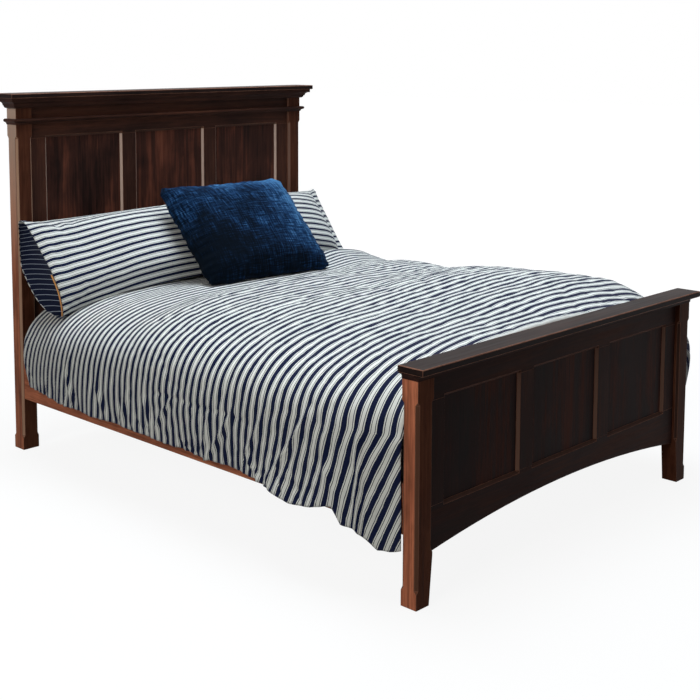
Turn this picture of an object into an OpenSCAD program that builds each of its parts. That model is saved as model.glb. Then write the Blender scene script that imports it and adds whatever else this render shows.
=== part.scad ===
// Panel bed with an arched footboard, side rails, slats, foundation, mattress and bedding.
// The bed stands on z = 0, its length runs along Y with the headboard at +Y,
// and the origin is the middle of its floor outline.

/* [Mattress and foundation] */
// Width of the mattress
mattress_w = 1524; // [1360:1:1940]
// Length of the mattress
mattress_l = 2032; // [1900:1:2140]
// Thickness of the mattress
mattress_h = 205; // [190:1:230]
// Radius of the mattress's long edges
mattress_edge = 75; // [60:1:85]
// Radius of the mattress's upright corners
mattress_corner = 95; // [88:1:140]
// Thickness of the foundation under the mattress
foundation_h = 127; // [100:1:180]
// How far the foundation stays inside the mattress's outline
foundation_inset = 6; // [2:1:15]
// Radius of the foundation's upright corners
foundation_corner = 40; // [20:1:80]
// Gap between the mattress and each side rail
mattress_side_gap = 21; // [12:1:40]
// Gap between the mattress and the posts at each end
mattress_end_gap = 25.5; // [20:0.5:60]

/* [Posts] */
// Width of every post, seen from the foot
post_w = 75; // [65:1:95]
// Depth of the headboard posts along the bed
head_post_d = 68; // [62:1:90]
// Depth of the footboard posts along the bed
foot_post_d = 62; // [58:1:90]
// Height of the headboard's top
head_h = 1500; // [1420:1:1620]
// Height of the footboard's top
foot_h = 750; // [700:1:780]
// Width of the long chamfers on the post corners
chamfer = 9; // [5:0.5:9.5]
// Length of the sloped stop at each end of a chamfer
chamfer_stop = 11; // [6:1:20]
// Height of the plain square foot below the chamfers
chamfer_low = 50; // [30:1:90]
// Plain length of a headboard post between the chamfer and the bead moulding
head_plain = 46; // [30:1:90]
// Plain length of a footboard post between the chamfer and the cap
foot_plain = 86; // [60:1:120]
// How much the footboard legs narrow towards the floor
leg_taper = 15; // [5:1:25]

/* [Frames and panels] */
// Thickness of the frame members
frame_t = 24; // [22:1:30]
// How far the headboard frame lies behind its post fronts
head_recess = 14; // [10:1:20]
// How far the footboard frame lies behind its post fronts
foot_recess = 18; // [10:1:22]
// Flat face width of the stiles and muntins
member_face = 73; // [55:1:95]
// Width of the bevelled edge round each panel
stick_w = 9; // [5:0.5:12]
// Depth of the bevelled edge down to the panel
stick_d = 9.5; // [6:0.5:11]
// Width of the square step between the bevel and the panel
stick_lip = 1.5; // [1:0.5:3]
// Thickness of the panels
panel_t = 9; // [6:0.5:11]
// Depth of the panel grooves and stub tenons
groove_d = 10; // [6:0.5:14]
// Gap left in the grooves for the panels to move
panel_play = 2; // [1:0.5:4]
// Depth of the tongues that enter the posts
tongue_d = 10; // [6:0.5:14]
// Flat face height of the headboard's top rail
head_top_rail_face = 63; // [45:1:90]
// Height of the plain frieze board above the headboard's top rail
frieze_h = 97; // [85:1:140]
// Height of the headboard's lower rail
head_low_rail_h = 120; // [80:1:160]
// Height of the lower rail's bottom above the floor
head_low_rail_z = 420; // [300:1:460]
// Height of the footboard's top rail below its cap
foot_top_rail_face = 91; // [60:1:120]
// Height of the footboard panels' lower edge
foot_panel_z = 289; // [280:1:330]
// Height of the arched rail's ends above the floor
arch_end_z = 155; // [120:1:180]
// Rise of the arch at its middle
arch_rise = 54; // [30:1:80]

/* [Caps and mouldings] */
// Thickness of the headboard cap
head_cap_t = 20; // [16:1:30]
// Overhang of the headboard cap at the front
head_cap_front = 48; // [46:1:60]
// Overhang of the headboard cap at each end
head_cap_end = 46; // [42:1:60]
// Overhang of the headboard cap at the back
head_cap_back = 8; // [2:1:15]
// Thickness of the footboard cap
foot_cap_t = 22; // [16:1:30]
// Overhang of the footboard cap at the front
foot_cap_front = 34; // [24:1:45]
// Overhang of the footboard cap at each end
foot_cap_end = 20; // [18:1:35]
// Overhang of the footboard cap at the back
foot_cap_back = 2; // [1:0.5:3]
// Width of the eased edges on both caps
cap_ease = 2; // [1:0.5:4]
// Reach of the crown moulding under the headboard cap
crown_reach = 37; // [30:1:40]
// Height of the crown moulding's square top fillet
crown_fillet = 15; // [8:1:20]
// Radius of the crown moulding's hollow
crown_cove = 16; // [10:1:20]
// Radius of the crown moulding's lower bead
crown_bead = 11; // [6:1:14]
// Reach of the bead moulding below the frieze
bead_reach = 17; // [12:1:24]
// Radius of the bead moulding's nose
bead_nose = 7; // [5:0.5:9]
// Radius of the hollow under the nose
bead_cove = 10; // [6:0.5:12]
// Height of the bead moulding's top above the frieze's lower edge
bead_up = 12; // [8:1:16]
// Width of the square steps beside the hollows of both headboard mouldings
moulding_step = 3; // [2:0.5:4]
// Reach of the cove moulding under the footboard cap
foot_cove_reach = 16; // [12:1:17]
// Height of the cove moulding's fillets
foot_cove_fillet = 4; // [2:0.5:6]
// Width of the square step below the footboard moulding's hollow
foot_cove_step = 2; // [1:0.5:3]
// Width of the joint line where two mouldings meet at a mitre
mitre_gap = 0.1; // [0.05:0.05:0.3]

/* [Side rails and supports] */
// Thickness of the side rails
rail_t = 25; // [22:1:32]
// Height of the side rails
rail_h = 160; // [150:1:200]
// Height of the side rails' lower edge
rail_z = 219; // [200:1:240]
// How far the side rails lie inside the posts' outer faces
rail_inset = 10; // [10:1:16]
// Width of the ledger strips
ledger_w = 30; // [22:1:40]
// Height of the ledger strips
ledger_h = 30; // [22:1:34]
// Height of the ledger's lower edge above the rail's lower edge
ledger_up = 5; // [2:1:12]
// How far each ledger stops short of the posts
ledger_short = 60; // [30:1:120]
// Number of slats
slat_count = 7; // [7:1:7]
// Width of a slat
slat_w = 90; // [70:1:120]
// Thickness of a slat
slat_t = 19; // [16:1:25]
// Distance from the outer slats' middles to the posts
slat_end = 150; // [120:1:240]
// Gap between a slat's end and the side rail
slat_play = 4; // [2:1:8]
// Width of the centre beam
beam_w = 40; // [35:1:60]
// Height of the centre beam
beam_h = 50; // [40:1:70]
// How far the centre beam stops short of the posts
beam_short = 70; // [30:1:120]
// Number of centre legs
leg_count = 3; // [3:1:3]
// Side of the square centre legs
leg_w = 45; // [42:1:60]
// Distance between neighbouring centre legs
leg_pitch = 560; // [450:1:650]

/* [Hardware] */
// Thickness of the steel hook and slot plates
plate_t = 3; // [2.5:0.5:4]
// Width of the plates
plate_w = 16; // [14:1:20]
// Height of the plates
plate_h = 130; // [110:1:140]
// Thickness of a hook
hook_t = 4; // [3:0.5:5]
// Reach of a hook behind the slot plate
hook_reach = 7; // [5:1:9]
// Height of a hook's neck
hook_neck = 18; // [14:1:24]
// How far a hook drops behind the slot plate
hook_drop = 8; // [6:1:12]
// Distance between the two hooks of a plate
hook_pitch = 60; // [50:1:70]
// Free space round a hook in its slot
hook_play = 0.5; // [0.3:0.1:1]
// Room behind the hooks in a post
hook_room = 2; // [1:0.5:4]
// Width of the ledge on each side of a slot plate's mortise
seat_side = 3; // [2:0.5:4]
// Height of the ledge above and below a slot plate's mortise
seat_end = 10; // [8:1:12]
// Distance from a slot plate's ends to its screws
post_screw_in = 6; // [5:0.5:8]
// Distance from a hook plate's ends to its screws
rail_screw_in = 18; // [15:1:22]
// Radius of the wood screws' shanks
screw_r = 2.2; // [1.5:0.1:3]
// Radius of the wood screws' heads
screw_head_r = 4.2; // [3.5:0.1:5]
// Height of the wood screws' countersunk heads
screw_head_h = 2.4; // [1.8:0.1:3]
// Length of the plate screws
plate_screw_l = 30; // [20:1:40]
// Length of the ledger screws
ledger_screw_l = 48; // [40:1:50]
// Number of screws in each ledger
ledger_screws = 6; // [3:1:10]
// Distance from a ledger's ends to its outer screws
ledger_screw_end = 50; // [30:1:90]
// Length of the slat screws
slat_screw_l = 40; // [30:1:45]
// Free space round every screw and stud
screw_play = 0.05; // [0.02:0.01:0.1]
// Radius of a leveller's threaded stud
stud_r = 5; // [4:0.5:6]
// Length of a leveller's stud above its foot
stud_l = 45; // [35:1:60]
// Radius of a leveller's foot
foot_r = 19; // [15:1:21]
// Thickness of a leveller's foot
foot_pad_t = 8; // [6:1:12]
// Height that a leveller can still be screwed in
leveller_travel = 12; // [8:1:18]
// Free length of the hole above a leveller's stud
stud_spare = 3; // [2:0.5:6]
// Running space round a leveller's stud
stud_play = 0.35; // [0.3:0.05:0.6]

/* [Duvet] */
// Height of the duvet's crown above the mattress
duvet_rise = 138; // [125:1:160]
// Extra height of the duvet where it is bunched on the far side near the foot
duvet_hump = 46; // [20:1:60]
// Width over which the bunched part rises towards the far side
duvet_hump_w = 900; // [700:10:1200]
// Height of the filling's puffs over the top
duvet_puff = 3; // [1:0.5:5]
// Length of one puff along the bed
duvet_puff_l = 410; // [300:10:500]
// Extra height that the duvet keeps at its foot edge
duvet_foot_lift = 10; // [0:1:30]
// How far the pillows press the duvet down
duvet_press = 52; // [20:1:56]
// How far the duvet's sides bulge outside the posts
duvet_bulge = 92; // [80:1:120]
// How much further both sides bulge over the foot third
duvet_foot_wide = 48; // [20:1:70]
// How far the near side is drawn in beside the foot post
duvet_foot_tuck = 116; // [90:1:120]
// How far both sides are drawn in at the head end
duvet_head_tuck = 55; // [20:1:60]
// Height of the widest part of the duvet's sides
duvet_wide_z = 450; // [430:1:470]
// How far the hem is drawn in from the widest part
duvet_hem_in = 56; // [20:1:60]
// How much further the far side's hem is drawn in beside the foot post
duvet_hem_foot = 40; // [0:1:60]
// Roundness of the duvet's near edge, higher is squarer
duvet_near_n = 2.1; // [2.1:0.1:3]
// Roundness of the duvet's far edge, higher is squarer
duvet_far_n = 4.4; // [2.8:0.1:5]
// How much squarer the near edge becomes at the two ends
duvet_end_n = 0.8; // [0.6:0.1:1.4]
// Height of the hem at the head end
hem_head_z = 285; // [265:1:310]
// Height of the hem along the middle
hem_mid_z = 256; // [235:1:270]
// Height of the hem beside the foot posts
hem_foot_z = 190; // [180:1:240]
// Height of the hem's waves
hem_wave = 5; // [2:0.5:8]
// Length of one wave of the hem
hem_wave_l = 290; // [200:10:400]
// Depth of the folds in the duvet's sides
duvet_fold = 7; // [3:1:10]
// Length of one fold along the bed
duvet_fold_l = 330; // [250:1:450]
// Height above the widest part where the duvet's underside starts to turn in
duvet_turn_up = 40; // [30:1:60]
// Extra free space left under the duvet at the mattress's long edges
duvet_edge_gap = 2; // [1:0.5:4]
// Gap between the duvet and the footboard's cap
duvet_foot_gap = 2; // [1.5:0.5:10]
// Gap between the duvet and the headboard posts
duvet_head_gap = 60; // [30:1:120]
// Gap between the duvet's sides and the side rails
duvet_rail_gap = 6; // [3:1:10]
// Free space kept between soft pieces and what they lie on
soft_gap = 0.4; // [0.3:0.1:1]
// Free space kept between the duvet and the pillows
pillow_gap = 1.9; // [1.8:0.1:3]
// Free space kept between the duvet and the cushion
cushion_gap = 0.8; // [0.8:0.1:3]

/* [Pillows and cushion] */
// Length of a pillow with its open flange
pillow_l = 862; // [760:1:880]
// Width of a pillow measured up its slope
pillow_w = 442; // [400:1:480]
// Thickness of a pillow at its middle
pillow_t = 190; // [140:1:200]
// Thickness of a pillow's flange and seams
pillow_seam = 9; // [6:1:14]
// Length of the flat flange at a pillow's open end
pillow_flange = 75; // [50:1:120]
// Gap between the two pillows
pillow_part = 12; // [8:1:40]
// Distance from the headboard posts to the pillows' upper edges
pillow_back = 60; // [30:1:90]
// Height of the pillows' upper edges above the mattress
pillow_top = 380; // [350:1:420]
// Slope of a pillow at the bed's middle, in degrees
pillow_slope = 40; // [36:1:46]
// Extra slope of the near pillow at its open end, in degrees
near_end_slope = 21; // [0:1:24]
// Extra slope of the far pillow at its open end, in degrees
far_end_slope = 9; // [0:1:24]
// How far the lower corners of the open ends are drawn in
pillow_corner_in = 50; // [20:1:80]
// Width of the square cushion
cushion_w = 662; // [560:1:720]
// Height of the square cushion up its slope
cushion_h = 545; // [480:1:580]
// Thickness of the cushion at its middle
cushion_t = 190; // [140:1:210]
// Thickness of the cushion's seam
cushion_seam = 8; // [5:1:12]
// How far the cushion's sides are drawn in between its corners
cushion_draw = 30; // [15:1:45]
// Slope of the cushion, in degrees
cushion_slope = 44; // [40:1:50]
// How far the cushion is turned towards the near side, in degrees
cushion_turn = 5; // [0:1:12]
// How far the cushion's lower edge settles into the duvet's top
cushion_sink = 8; // [0:1:20]
// Distance from the bed's middle line to the cushion's middle
cushion_x = 48; // [-100:1:150]
// Distance from the headboard posts to the cushion's lower edge
cushion_from_head = 645; // [640:1:760]

/* [Hidden] */

// Small overlap that lets a cutter pass through a face
cut = 1;
// Facets of the large circles
round_fn = 96;
// Facets of the very large arch circle
arch_fn = 1440;

bed_w = mattress_w + 2 * (mattress_side_gap + rail_t + rail_inset);
half_w = bed_w / 2;
rail_len = mattress_l + 2 * mattress_end_gap;
bed_depth = foot_cap_front + foot_post_d + rail_len + head_post_d + head_cap_back;
foot_front_y = foot_cap_front - bed_depth / 2;
foot_back_y = foot_front_y + foot_post_d;
head_front_y = foot_back_y + rail_len;
head_back_y = head_front_y + head_post_d;
inner_w = bed_w - 2 * post_w;

head_post_h = head_h - head_cap_t;
foot_post_h = foot_h - foot_cap_t;
head_top_rail_z = head_post_h - frieze_h - head_top_rail_face;
frieze_z = head_post_h - frieze_h;
crown_h = crown_fillet + crown_cove + crown_bead;
bead_top_z = frieze_z + bead_up;
bead_h = 2 * bead_nose + bead_cove;
foot_cove_h = 2 * foot_cove_fillet + foot_cove_reach - foot_cove_step;
foot_panel_top_z = foot_post_h - foot_top_rail_face;
panel_face_w = (inner_w - 4 * member_face) / 3;
arch_radius = (pow(inner_w / 2, 2) + pow(arch_rise, 2)) / (2 * arch_rise);

rail_x = half_w - rail_inset - rail_t;
ledger_top_z = rail_z + ledger_up + ledger_h;
slat_top_z = ledger_top_z + slat_t;
foundation_z = slat_top_z + soft_gap;
mattress_z = foundation_z + foundation_h + soft_gap;
mattress_top_z = mattress_z + mattress_h;
slat_pitch = (rail_len - 2 * slat_end) / (slat_count - 1);
beam_z = ledger_top_z - beam_h;
plate_z = rail_z + rail_h / 2;
plate_x = rail_x + rail_t / 2;

duvet_foot_y = foot_back_y + foot_cap_back + duvet_foot_gap;
duvet_head_y = head_front_y - duvet_head_gap;
duvet_len = duvet_head_y - duvet_foot_y;
duvet_inner_x = half_w - rail_inset + duvet_rail_gap;
duvet_rows = 27;
duvet_quarter = 8;
duvet_side_steps = 3;

espresso = [0.17, 0.10, 0.08];
espresso_panel = [0.22, 0.11, 0.08];
hidden_wood = [0.72, 0.56, 0.38];
steel = [0.66, 0.67, 0.69];
ticking = [0.80, 0.81, 0.82];
denim = [0.10, 0.18, 0.34];

// Shared shapes

// Box from one corner to the opposite one
module span(low, high) {
    translate(low) cube(high - low);
}

// Mirror image of a left piece for the right side of the bed
module on_right() {
    mirror([1, 0, 0]) children();
}

// Rectangle with four round corners, centred
module round_rect(w, l, r) {
    union() {
        square([w - 2 * r, l], center = true);
        square([w, l - 2 * r], center = true);
        for (sx = [-1, 1], sy = [-1, 1]) {
            translate([sx * (w / 2 - r), sy * (l / 2 - r)]) circle(r, $fn = round_fn);
        }
    }
}

// Board lying flat with its four top and bottom edges eased
module eased_board(low, high, ease) {
    size = high - low;
    translate(low) intersection() {
        rotate([90, 0, 90]) linear_extrude(size.x) eased_outline(size.y, size.z, ease);
        translate([0, size.y, 0]) rotate([90, 0, 0]) linear_extrude(size.y)
            eased_outline(size.x, size.z, ease);
    }
}

module eased_outline(w, h, ease) {
    polygon([
        [ease, 0], [w - ease, 0], [w, ease], [w, h - ease],
        [w - ease, h], [ease, h], [0, h - ease], [0, ease]
    ]);
}

// Stopped chamfer cut from an upright corner, aimed outwards along the given turn
module stopped_chamfer(corner, turn, low, high) {
    depth = chamfer / sqrt(2);
    slope = chamfer_stop / depth;
    reach = depth + cut;
    translate([corner.x, corner.y, 0]) rotate([0, 0, turn]) translate([-depth, 0, 0])
        rotate([90, 0, 0]) linear_extrude(2 * chamfer, center = true) polygon([
            [0, low + chamfer_stop], [0, high - chamfer_stop],
            [reach, high - chamfer_stop + reach * slope], [reach, low + chamfer_stop - reach * slope]
        ]);
}

// Countersunk wood screw with its head flush at the origin, pointing down -Z
module screw(length, play = 0) {
    rotate([180, 0, 0]) rotate_extrude($fn = 24) polygon([
        [0, -(play > 0 ? cut : 0)], [screw_head_r + play, -(play > 0 ? cut : 0)],
        [screw_head_r + play, 0], [screw_r + play, screw_head_h], [screw_r + play, length + play],
        [0, length + play]
    ]);
}

// Closed form between an upper and a lower net of points, both as rows of equal length
function net_points(upper, lower) = [
    for (i = [0:len(upper) - 1]) each concat(upper[i], lower[i])
];

function quad(a, b, c, d) = [[a, b, c], [a, c, d]];

function net_faces(rows, n) = concat(
    [for (i = [0:rows - 2], j = [0:n - 2])
        each quad(i * 2 * n + j, i * 2 * n + j + 1, (i + 1) * 2 * n + j + 1, (i + 1) * 2 * n + j)],
    [for (i = [0:rows - 2], j = [0:n - 2])
        each quad(i * 2 * n + n + j + 1, i * 2 * n + n + j,
                  (i + 1) * 2 * n + n + j, (i + 1) * 2 * n + n + j + 1)],
    [for (i = [0:rows - 2])
        each quad(i * 2 * n, (i + 1) * 2 * n, (i + 1) * 2 * n + n, i * 2 * n + n)],
    [for (i = [0:rows - 2])
        each quad((i + 1) * 2 * n + n - 1, i * 2 * n + n - 1,
                  i * 2 * n + 2 * n - 1, (i + 1) * 2 * n + 2 * n - 1)],
    [for (j = [0:n - 2]) each quad(j + 1, j, n + j, n + j + 1)],
    [for (j = [0:n - 2])
        each quad((rows - 1) * 2 * n + j, (rows - 1) * 2 * n + j + 1,
                  (rows - 1) * 2 * n + n + j + 1, (rows - 1) * 2 * n + n + j)]
);

// Rows follow one another along +Y, and their points run along +X
module net_form(upper, lower) {
    polyhedron(points = net_points(upper, lower),
               faces = [for (f = net_faces(len(upper), len(upper[0]))) [f[2], f[1], f[0]]]);
}

// Rows follow one another along +X, and their points run along +Y
module net_form_x(upper, lower) {
    polyhedron(points = net_points(upper, lower), faces = net_faces(len(upper), len(upper[0])));
}

// Posts

// Mortise in a post face for a slot plate, with room behind it for the hooks
module plate_mortise(face_y, inward) {
    y_plate = face_y + inward * plate_t;
    y_room = y_plate + inward * (hook_t + hook_reach + hook_room);
    for (y_end = [[face_y - inward * cut, y_plate, plate_w, plate_h],
                  [y_plate - inward * cut, y_room, plate_w - 2 * seat_side, plate_h - 2 * seat_end]]) {
        span([-plate_x - y_end[2] / 2, min(y_end[0], y_end[1]), plate_z - y_end[3] / 2],
             [-plate_x + y_end[2] / 2, max(y_end[0], y_end[1]), plate_z + y_end[3] / 2]);
    }
}

// Screws of one corner's plates: into the post and into the rail end
module corner_screws(face_y, inward, play = 0) {
    for (z_off = [-1, 1]) {
        translate([-plate_x, face_y, plate_z + z_off * (plate_h / 2 - post_screw_in)])
            rotate([90 * inward, 0, 0]) screw(plate_screw_l, play);
    }
}

module rail_end_screws(face_y, inward, play = 0) {
    for (z_off = [-1, 1]) {
        translate([-plate_x, face_y, plate_z + z_off * (plate_h / 2 - rail_screw_in)])
            rotate([90 * inward, 0, 0]) screw(plate_screw_l, play);
    }
}

// Front of the panels and of the grooves and tongues in line with them
function groove_y(frame_y) = frame_y + stick_d + stick_lip;

// Groove in a post's inner face for a frame's tongue
module tongue_space(frame_y, low_z, high_z) {
    span([-inner_w / 2 - tongue_d, groove_y(frame_y), low_z],
         [-inner_w / 2 + cut, groove_y(frame_y) + panel_t, high_z]);
}

module head_post() {
    high = bead_top_z - bead_h - head_plain;
    color(espresso) difference() {
        span([-half_w, head_front_y, 0], [-half_w + post_w, head_back_y, head_post_h]);
        stopped_chamfer([-half_w, head_front_y], 225, chamfer_low, high);
        stopped_chamfer([-half_w, head_back_y], 135, chamfer_low, high);
        stopped_chamfer([-half_w + post_w, head_front_y], 315, chamfer_low, high);
        stopped_chamfer([-half_w + post_w, head_back_y], 45, chamfer_low, high);
        plate_mortise(head_front_y, 1);
        corner_screws(head_front_y, 1, screw_play);
        tongue_space(head_front_y + head_recess, head_low_rail_z, head_post_h + cut);
    }
}

module foot_post() {
    high = foot_post_h - foot_plain;
    color(espresso) difference() {
        rotate([90, 0, 0]) translate([0, 0, -foot_back_y]) linear_extrude(foot_post_d) polygon([
            [-half_w, 0], [-half_w + post_w - leg_taper, 0],
            [-half_w + post_w, arch_end_z], [-half_w + post_w, foot_post_h], [-half_w, foot_post_h]
        ]);
        stopped_chamfer([-half_w, foot_front_y], 225, chamfer_low, high);
        stopped_chamfer([-half_w, foot_back_y], 135, chamfer_low, high);
        stopped_chamfer([-half_w + post_w, foot_front_y], 315, arch_end_z + chamfer_stop, high);
        stopped_chamfer([-half_w + post_w, foot_back_y], 45, arch_end_z + chamfer_stop, high);
        plate_mortise(foot_back_y, -1);
        corner_screws(foot_back_y, -1, screw_play);
        tongue_space(foot_front_y + foot_recess, arch_end_z, foot_post_h + cut);
    }
}

module headboard_post_left() { head_post(); }
module headboard_post_right() { on_right() head_post(); }
module footboard_post_left() { foot_post(); }
module footboard_post_right() { on_right() foot_post(); }

// Frames: rails run from post to post, stiles and muntins stand between them

function panel_x(i) = -inner_w / 2 + member_face + i * (panel_face_w + member_face);

// Bevelled opening and panel groove of one panel, cut from every frame member
module opening_cut(i, frame_y, low_z, high_z) {
    left = panel_x(i);
    right = left + panel_face_w;
    y_end = frame_y + stick_d;
    y_back = groove_y(frame_y) + cut;
    over = cut * stick_w / stick_d;
    intersection() {
        translate([left - over, 0, 0]) rotate([90, 0, 90]) linear_extrude(right - left + 2 * over) polygon([
            [frame_y - cut, low_z - over], [y_end, low_z + stick_w], [y_back, low_z + stick_w],
            [y_back, high_z - stick_w], [y_end, high_z - stick_w], [frame_y - cut, high_z + over]
        ]);
        translate([0, 0, low_z - over]) linear_extrude(high_z - low_z + 2 * over) polygon([
            [left - over, frame_y - cut], [left + stick_w, y_end], [left + stick_w, y_back],
            [right - stick_w, y_back], [right - stick_w, y_end], [right + over, frame_y - cut]
        ]);
    }
    span([left + stick_w - groove_d, groove_y(frame_y), low_z + stick_w - groove_d],
         [right - stick_w + groove_d, groove_y(frame_y) + panel_t, high_z - stick_w + groove_d]);
}

module frame_cuts(frame_y, low_z, high_z) {
    for (i = [0:2]) opening_cut(i, frame_y, low_z, high_z);
}

// Rail from post to post with a tongue in each post
module frame_rail(frame_y, low_z, high_z) {
    span([-inner_w / 2, frame_y, low_z], [inner_w / 2, frame_y + frame_t, high_z]);
    span([-inner_w / 2 - tongue_d, groove_y(frame_y), low_z],
         [inner_w / 2 + tongue_d, groove_y(frame_y) + panel_t, high_z]);
}

// Grooves in the rails where the stiles and muntins enter with stub tenons
module tenon_spaces(frame_y, low_z, high_z) {
    far = inner_w / 2 + tongue_d + cut;
    span([-far, groove_y(frame_y), low_z - groove_d], [far, groove_y(frame_y) + panel_t, high_z + groove_d]);
}

// Left stile with stub tenons at both ends and a tongue in the post
module frame_stile(frame_y, low_z, high_z) {
    sight_low = low_z + stick_w;
    sight_high = high_z - stick_w;
    x_low = -inner_w / 2;
    x_high = x_low + member_face + stick_w;
    color(espresso) difference() {
        union() {
            span([x_low, frame_y, sight_low], [x_high, frame_y + frame_t, sight_high]);
            span([x_low - tongue_d, groove_y(frame_y), sight_low - groove_d],
                 [x_high - groove_d, groove_y(frame_y) + panel_t, sight_high + groove_d]);
        }
        frame_cuts(frame_y, low_z, high_z);
    }
}

// Upright between two panels, with stub tenons at both ends
module frame_muntin(i, frame_y, low_z, high_z) {
    sight_low = low_z + stick_w;
    sight_high = high_z - stick_w;
    x_low = panel_x(i) - member_face - stick_w;
    x_high = panel_x(i) + stick_w;
    color(espresso) difference() {
        union() {
            span([x_low, frame_y, sight_low], [x_high, frame_y + frame_t, sight_high]);
            span([x_low + groove_d, groove_y(frame_y), sight_low - groove_d],
                 [x_high - groove_d, groove_y(frame_y) + panel_t, sight_high + groove_d]);
        }
        frame_cuts(frame_y, low_z, high_z);
    }
}

module frame_panel(i, frame_y, low_z, high_z) {
    left = panel_x(i) + stick_w - groove_d + panel_play;
    right = panel_x(i) + panel_face_w - stick_w + groove_d - panel_play;
    color(espresso_panel) span(
        [left, groove_y(frame_y), low_z + stick_w - groove_d + panel_play],
        [right, groove_y(frame_y) + panel_t, high_z - stick_w + groove_d - panel_play]);
}

head_frame_y = head_front_y + head_recess;
head_panel_z = head_low_rail_z + head_low_rail_h;
foot_frame_y = foot_front_y + foot_recess;

module headboard_top_rail() {
    color(espresso) difference() {
        frame_rail(head_frame_y, head_top_rail_z - stick_w, frieze_z);
        tenon_spaces(head_frame_y, head_panel_z + stick_w, head_top_rail_z - stick_w);
        frame_cuts(head_frame_y, head_panel_z, head_top_rail_z);
    }
}

module headboard_bottom_rail() {
    color(espresso) difference() {
        frame_rail(head_frame_y, head_low_rail_z, head_panel_z + stick_w);
        tenon_spaces(head_frame_y, head_panel_z + stick_w, head_top_rail_z - stick_w);
        frame_cuts(head_frame_y, head_panel_z, head_top_rail_z);
    }
}

module headboard_frieze() {
    color(espresso) frame_rail(head_frame_y, frieze_z, head_post_h);
}

module headboard_stile_left() { frame_stile(head_frame_y, head_panel_z, head_top_rail_z); }
module headboard_stile_right() { on_right() frame_stile(head_frame_y, head_panel_z, head_top_rail_z); }
module headboard_muntin_left() { frame_muntin(1, head_frame_y, head_panel_z, head_top_rail_z); }
module headboard_muntin_right() { frame_muntin(2, head_frame_y, head_panel_z, head_top_rail_z); }
module headboard_panel_left() { frame_panel(0, head_frame_y, head_panel_z, head_top_rail_z); }
module headboard_panel_centre() { frame_panel(1, head_frame_y, head_panel_z, head_top_rail_z); }
module headboard_panel_right() { frame_panel(2, head_frame_y, head_panel_z, head_top_rail_z); }

module footboard_top_rail() {
    color(espresso) difference() {
        frame_rail(foot_frame_y, foot_panel_top_z - stick_w, foot_post_h);
        tenon_spaces(foot_frame_y, foot_panel_z + stick_w, foot_panel_top_z - stick_w);
        frame_cuts(foot_frame_y, foot_panel_z, foot_panel_top_z);
    }
}

module footboard_arched_rail() {
    color(espresso) difference() {
        frame_rail(foot_frame_y, arch_end_z, foot_panel_z + stick_w);
        tenon_spaces(foot_frame_y, foot_panel_z + stick_w, foot_panel_top_z - stick_w);
        frame_cuts(foot_frame_y, foot_panel_z, foot_panel_top_z);
        translate([0, foot_frame_y - cut, arch_end_z + arch_rise - arch_radius])
            rotate([-90, 0, 0]) cylinder(h = frame_t + 2 * cut, r = arch_radius, $fn = arch_fn);
    }
}

module footboard_stile_left() { frame_stile(foot_frame_y, foot_panel_z, foot_panel_top_z); }
module footboard_stile_right() { on_right() frame_stile(foot_frame_y, foot_panel_z, foot_panel_top_z); }
module footboard_muntin_left() { frame_muntin(1, foot_frame_y, foot_panel_z, foot_panel_top_z); }
module footboard_muntin_right() { frame_muntin(2, foot_frame_y, foot_panel_z, foot_panel_top_z); }
module footboard_panel_left() { frame_panel(0, foot_frame_y, foot_panel_z, foot_panel_top_z); }
module footboard_panel_centre() { frame_panel(1, foot_frame_y, foot_panel_z, foot_panel_top_z); }
module footboard_panel_right() { frame_panel(2, foot_frame_y, foot_panel_z, foot_panel_top_z); }

// Caps

module headboard_cap() {
    color(espresso) eased_board(
        [-half_w - head_cap_end, head_front_y - head_cap_front, head_post_h],
        [half_w + head_cap_end, head_back_y + head_cap_back, head_h], cap_ease);
}

module footboard_cap() {
    color(espresso) eased_board(
        [-half_w - foot_cap_end, foot_front_y - foot_cap_front, foot_post_h],
        [half_w + foot_cap_end, foot_back_y + foot_cap_back, foot_h], cap_ease);
}

// Mouldings: a profile in reach and height that runs along the front and returns on both ends

module crown_profile() {
    cove_x = crown_reach - moulding_step;
    difference() {
        union() {
            translate([0, crown_bead + crown_cove]) square([crown_reach, crown_fillet]);
            translate([0, crown_bead]) square([cove_x, crown_cove]);
            intersection() {
                translate([moulding_step, crown_bead]) circle(crown_bead, $fn = round_fn);
                square([crown_reach, crown_bead]);
            }
            square([moulding_step, crown_bead]);
        }
        translate([cove_x, crown_bead]) circle(crown_cove, $fn = round_fn);
    }
}

module bead_profile() {
    nose_z = bead_cove + bead_nose;
    difference() {
        union() {
            translate([0, bead_cove]) square([bead_reach - bead_nose, 2 * bead_nose]);
            translate([bead_reach - bead_nose, nose_z]) circle(bead_nose, $fn = round_fn);
            square([bead_cove + moulding_step, bead_cove]);
        }
        translate([bead_cove + moulding_step, 0]) circle(bead_cove, $fn = round_fn);
    }
}

module foot_cove_profile() {
    radius = foot_cove_reach - foot_cove_step;
    difference() {
        union() {
            translate([0, foot_cove_fillet + radius]) square([foot_cove_reach, foot_cove_fillet]);
            square([foot_cove_reach, foot_cove_fillet + radius]);
        }
        translate([foot_cove_reach, foot_cove_fillet]) circle(radius, $fn = round_fn);
        translate([foot_cove_step, -cut]) square([foot_cove_reach, foot_cove_fillet + cut]);
    }
}

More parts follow.
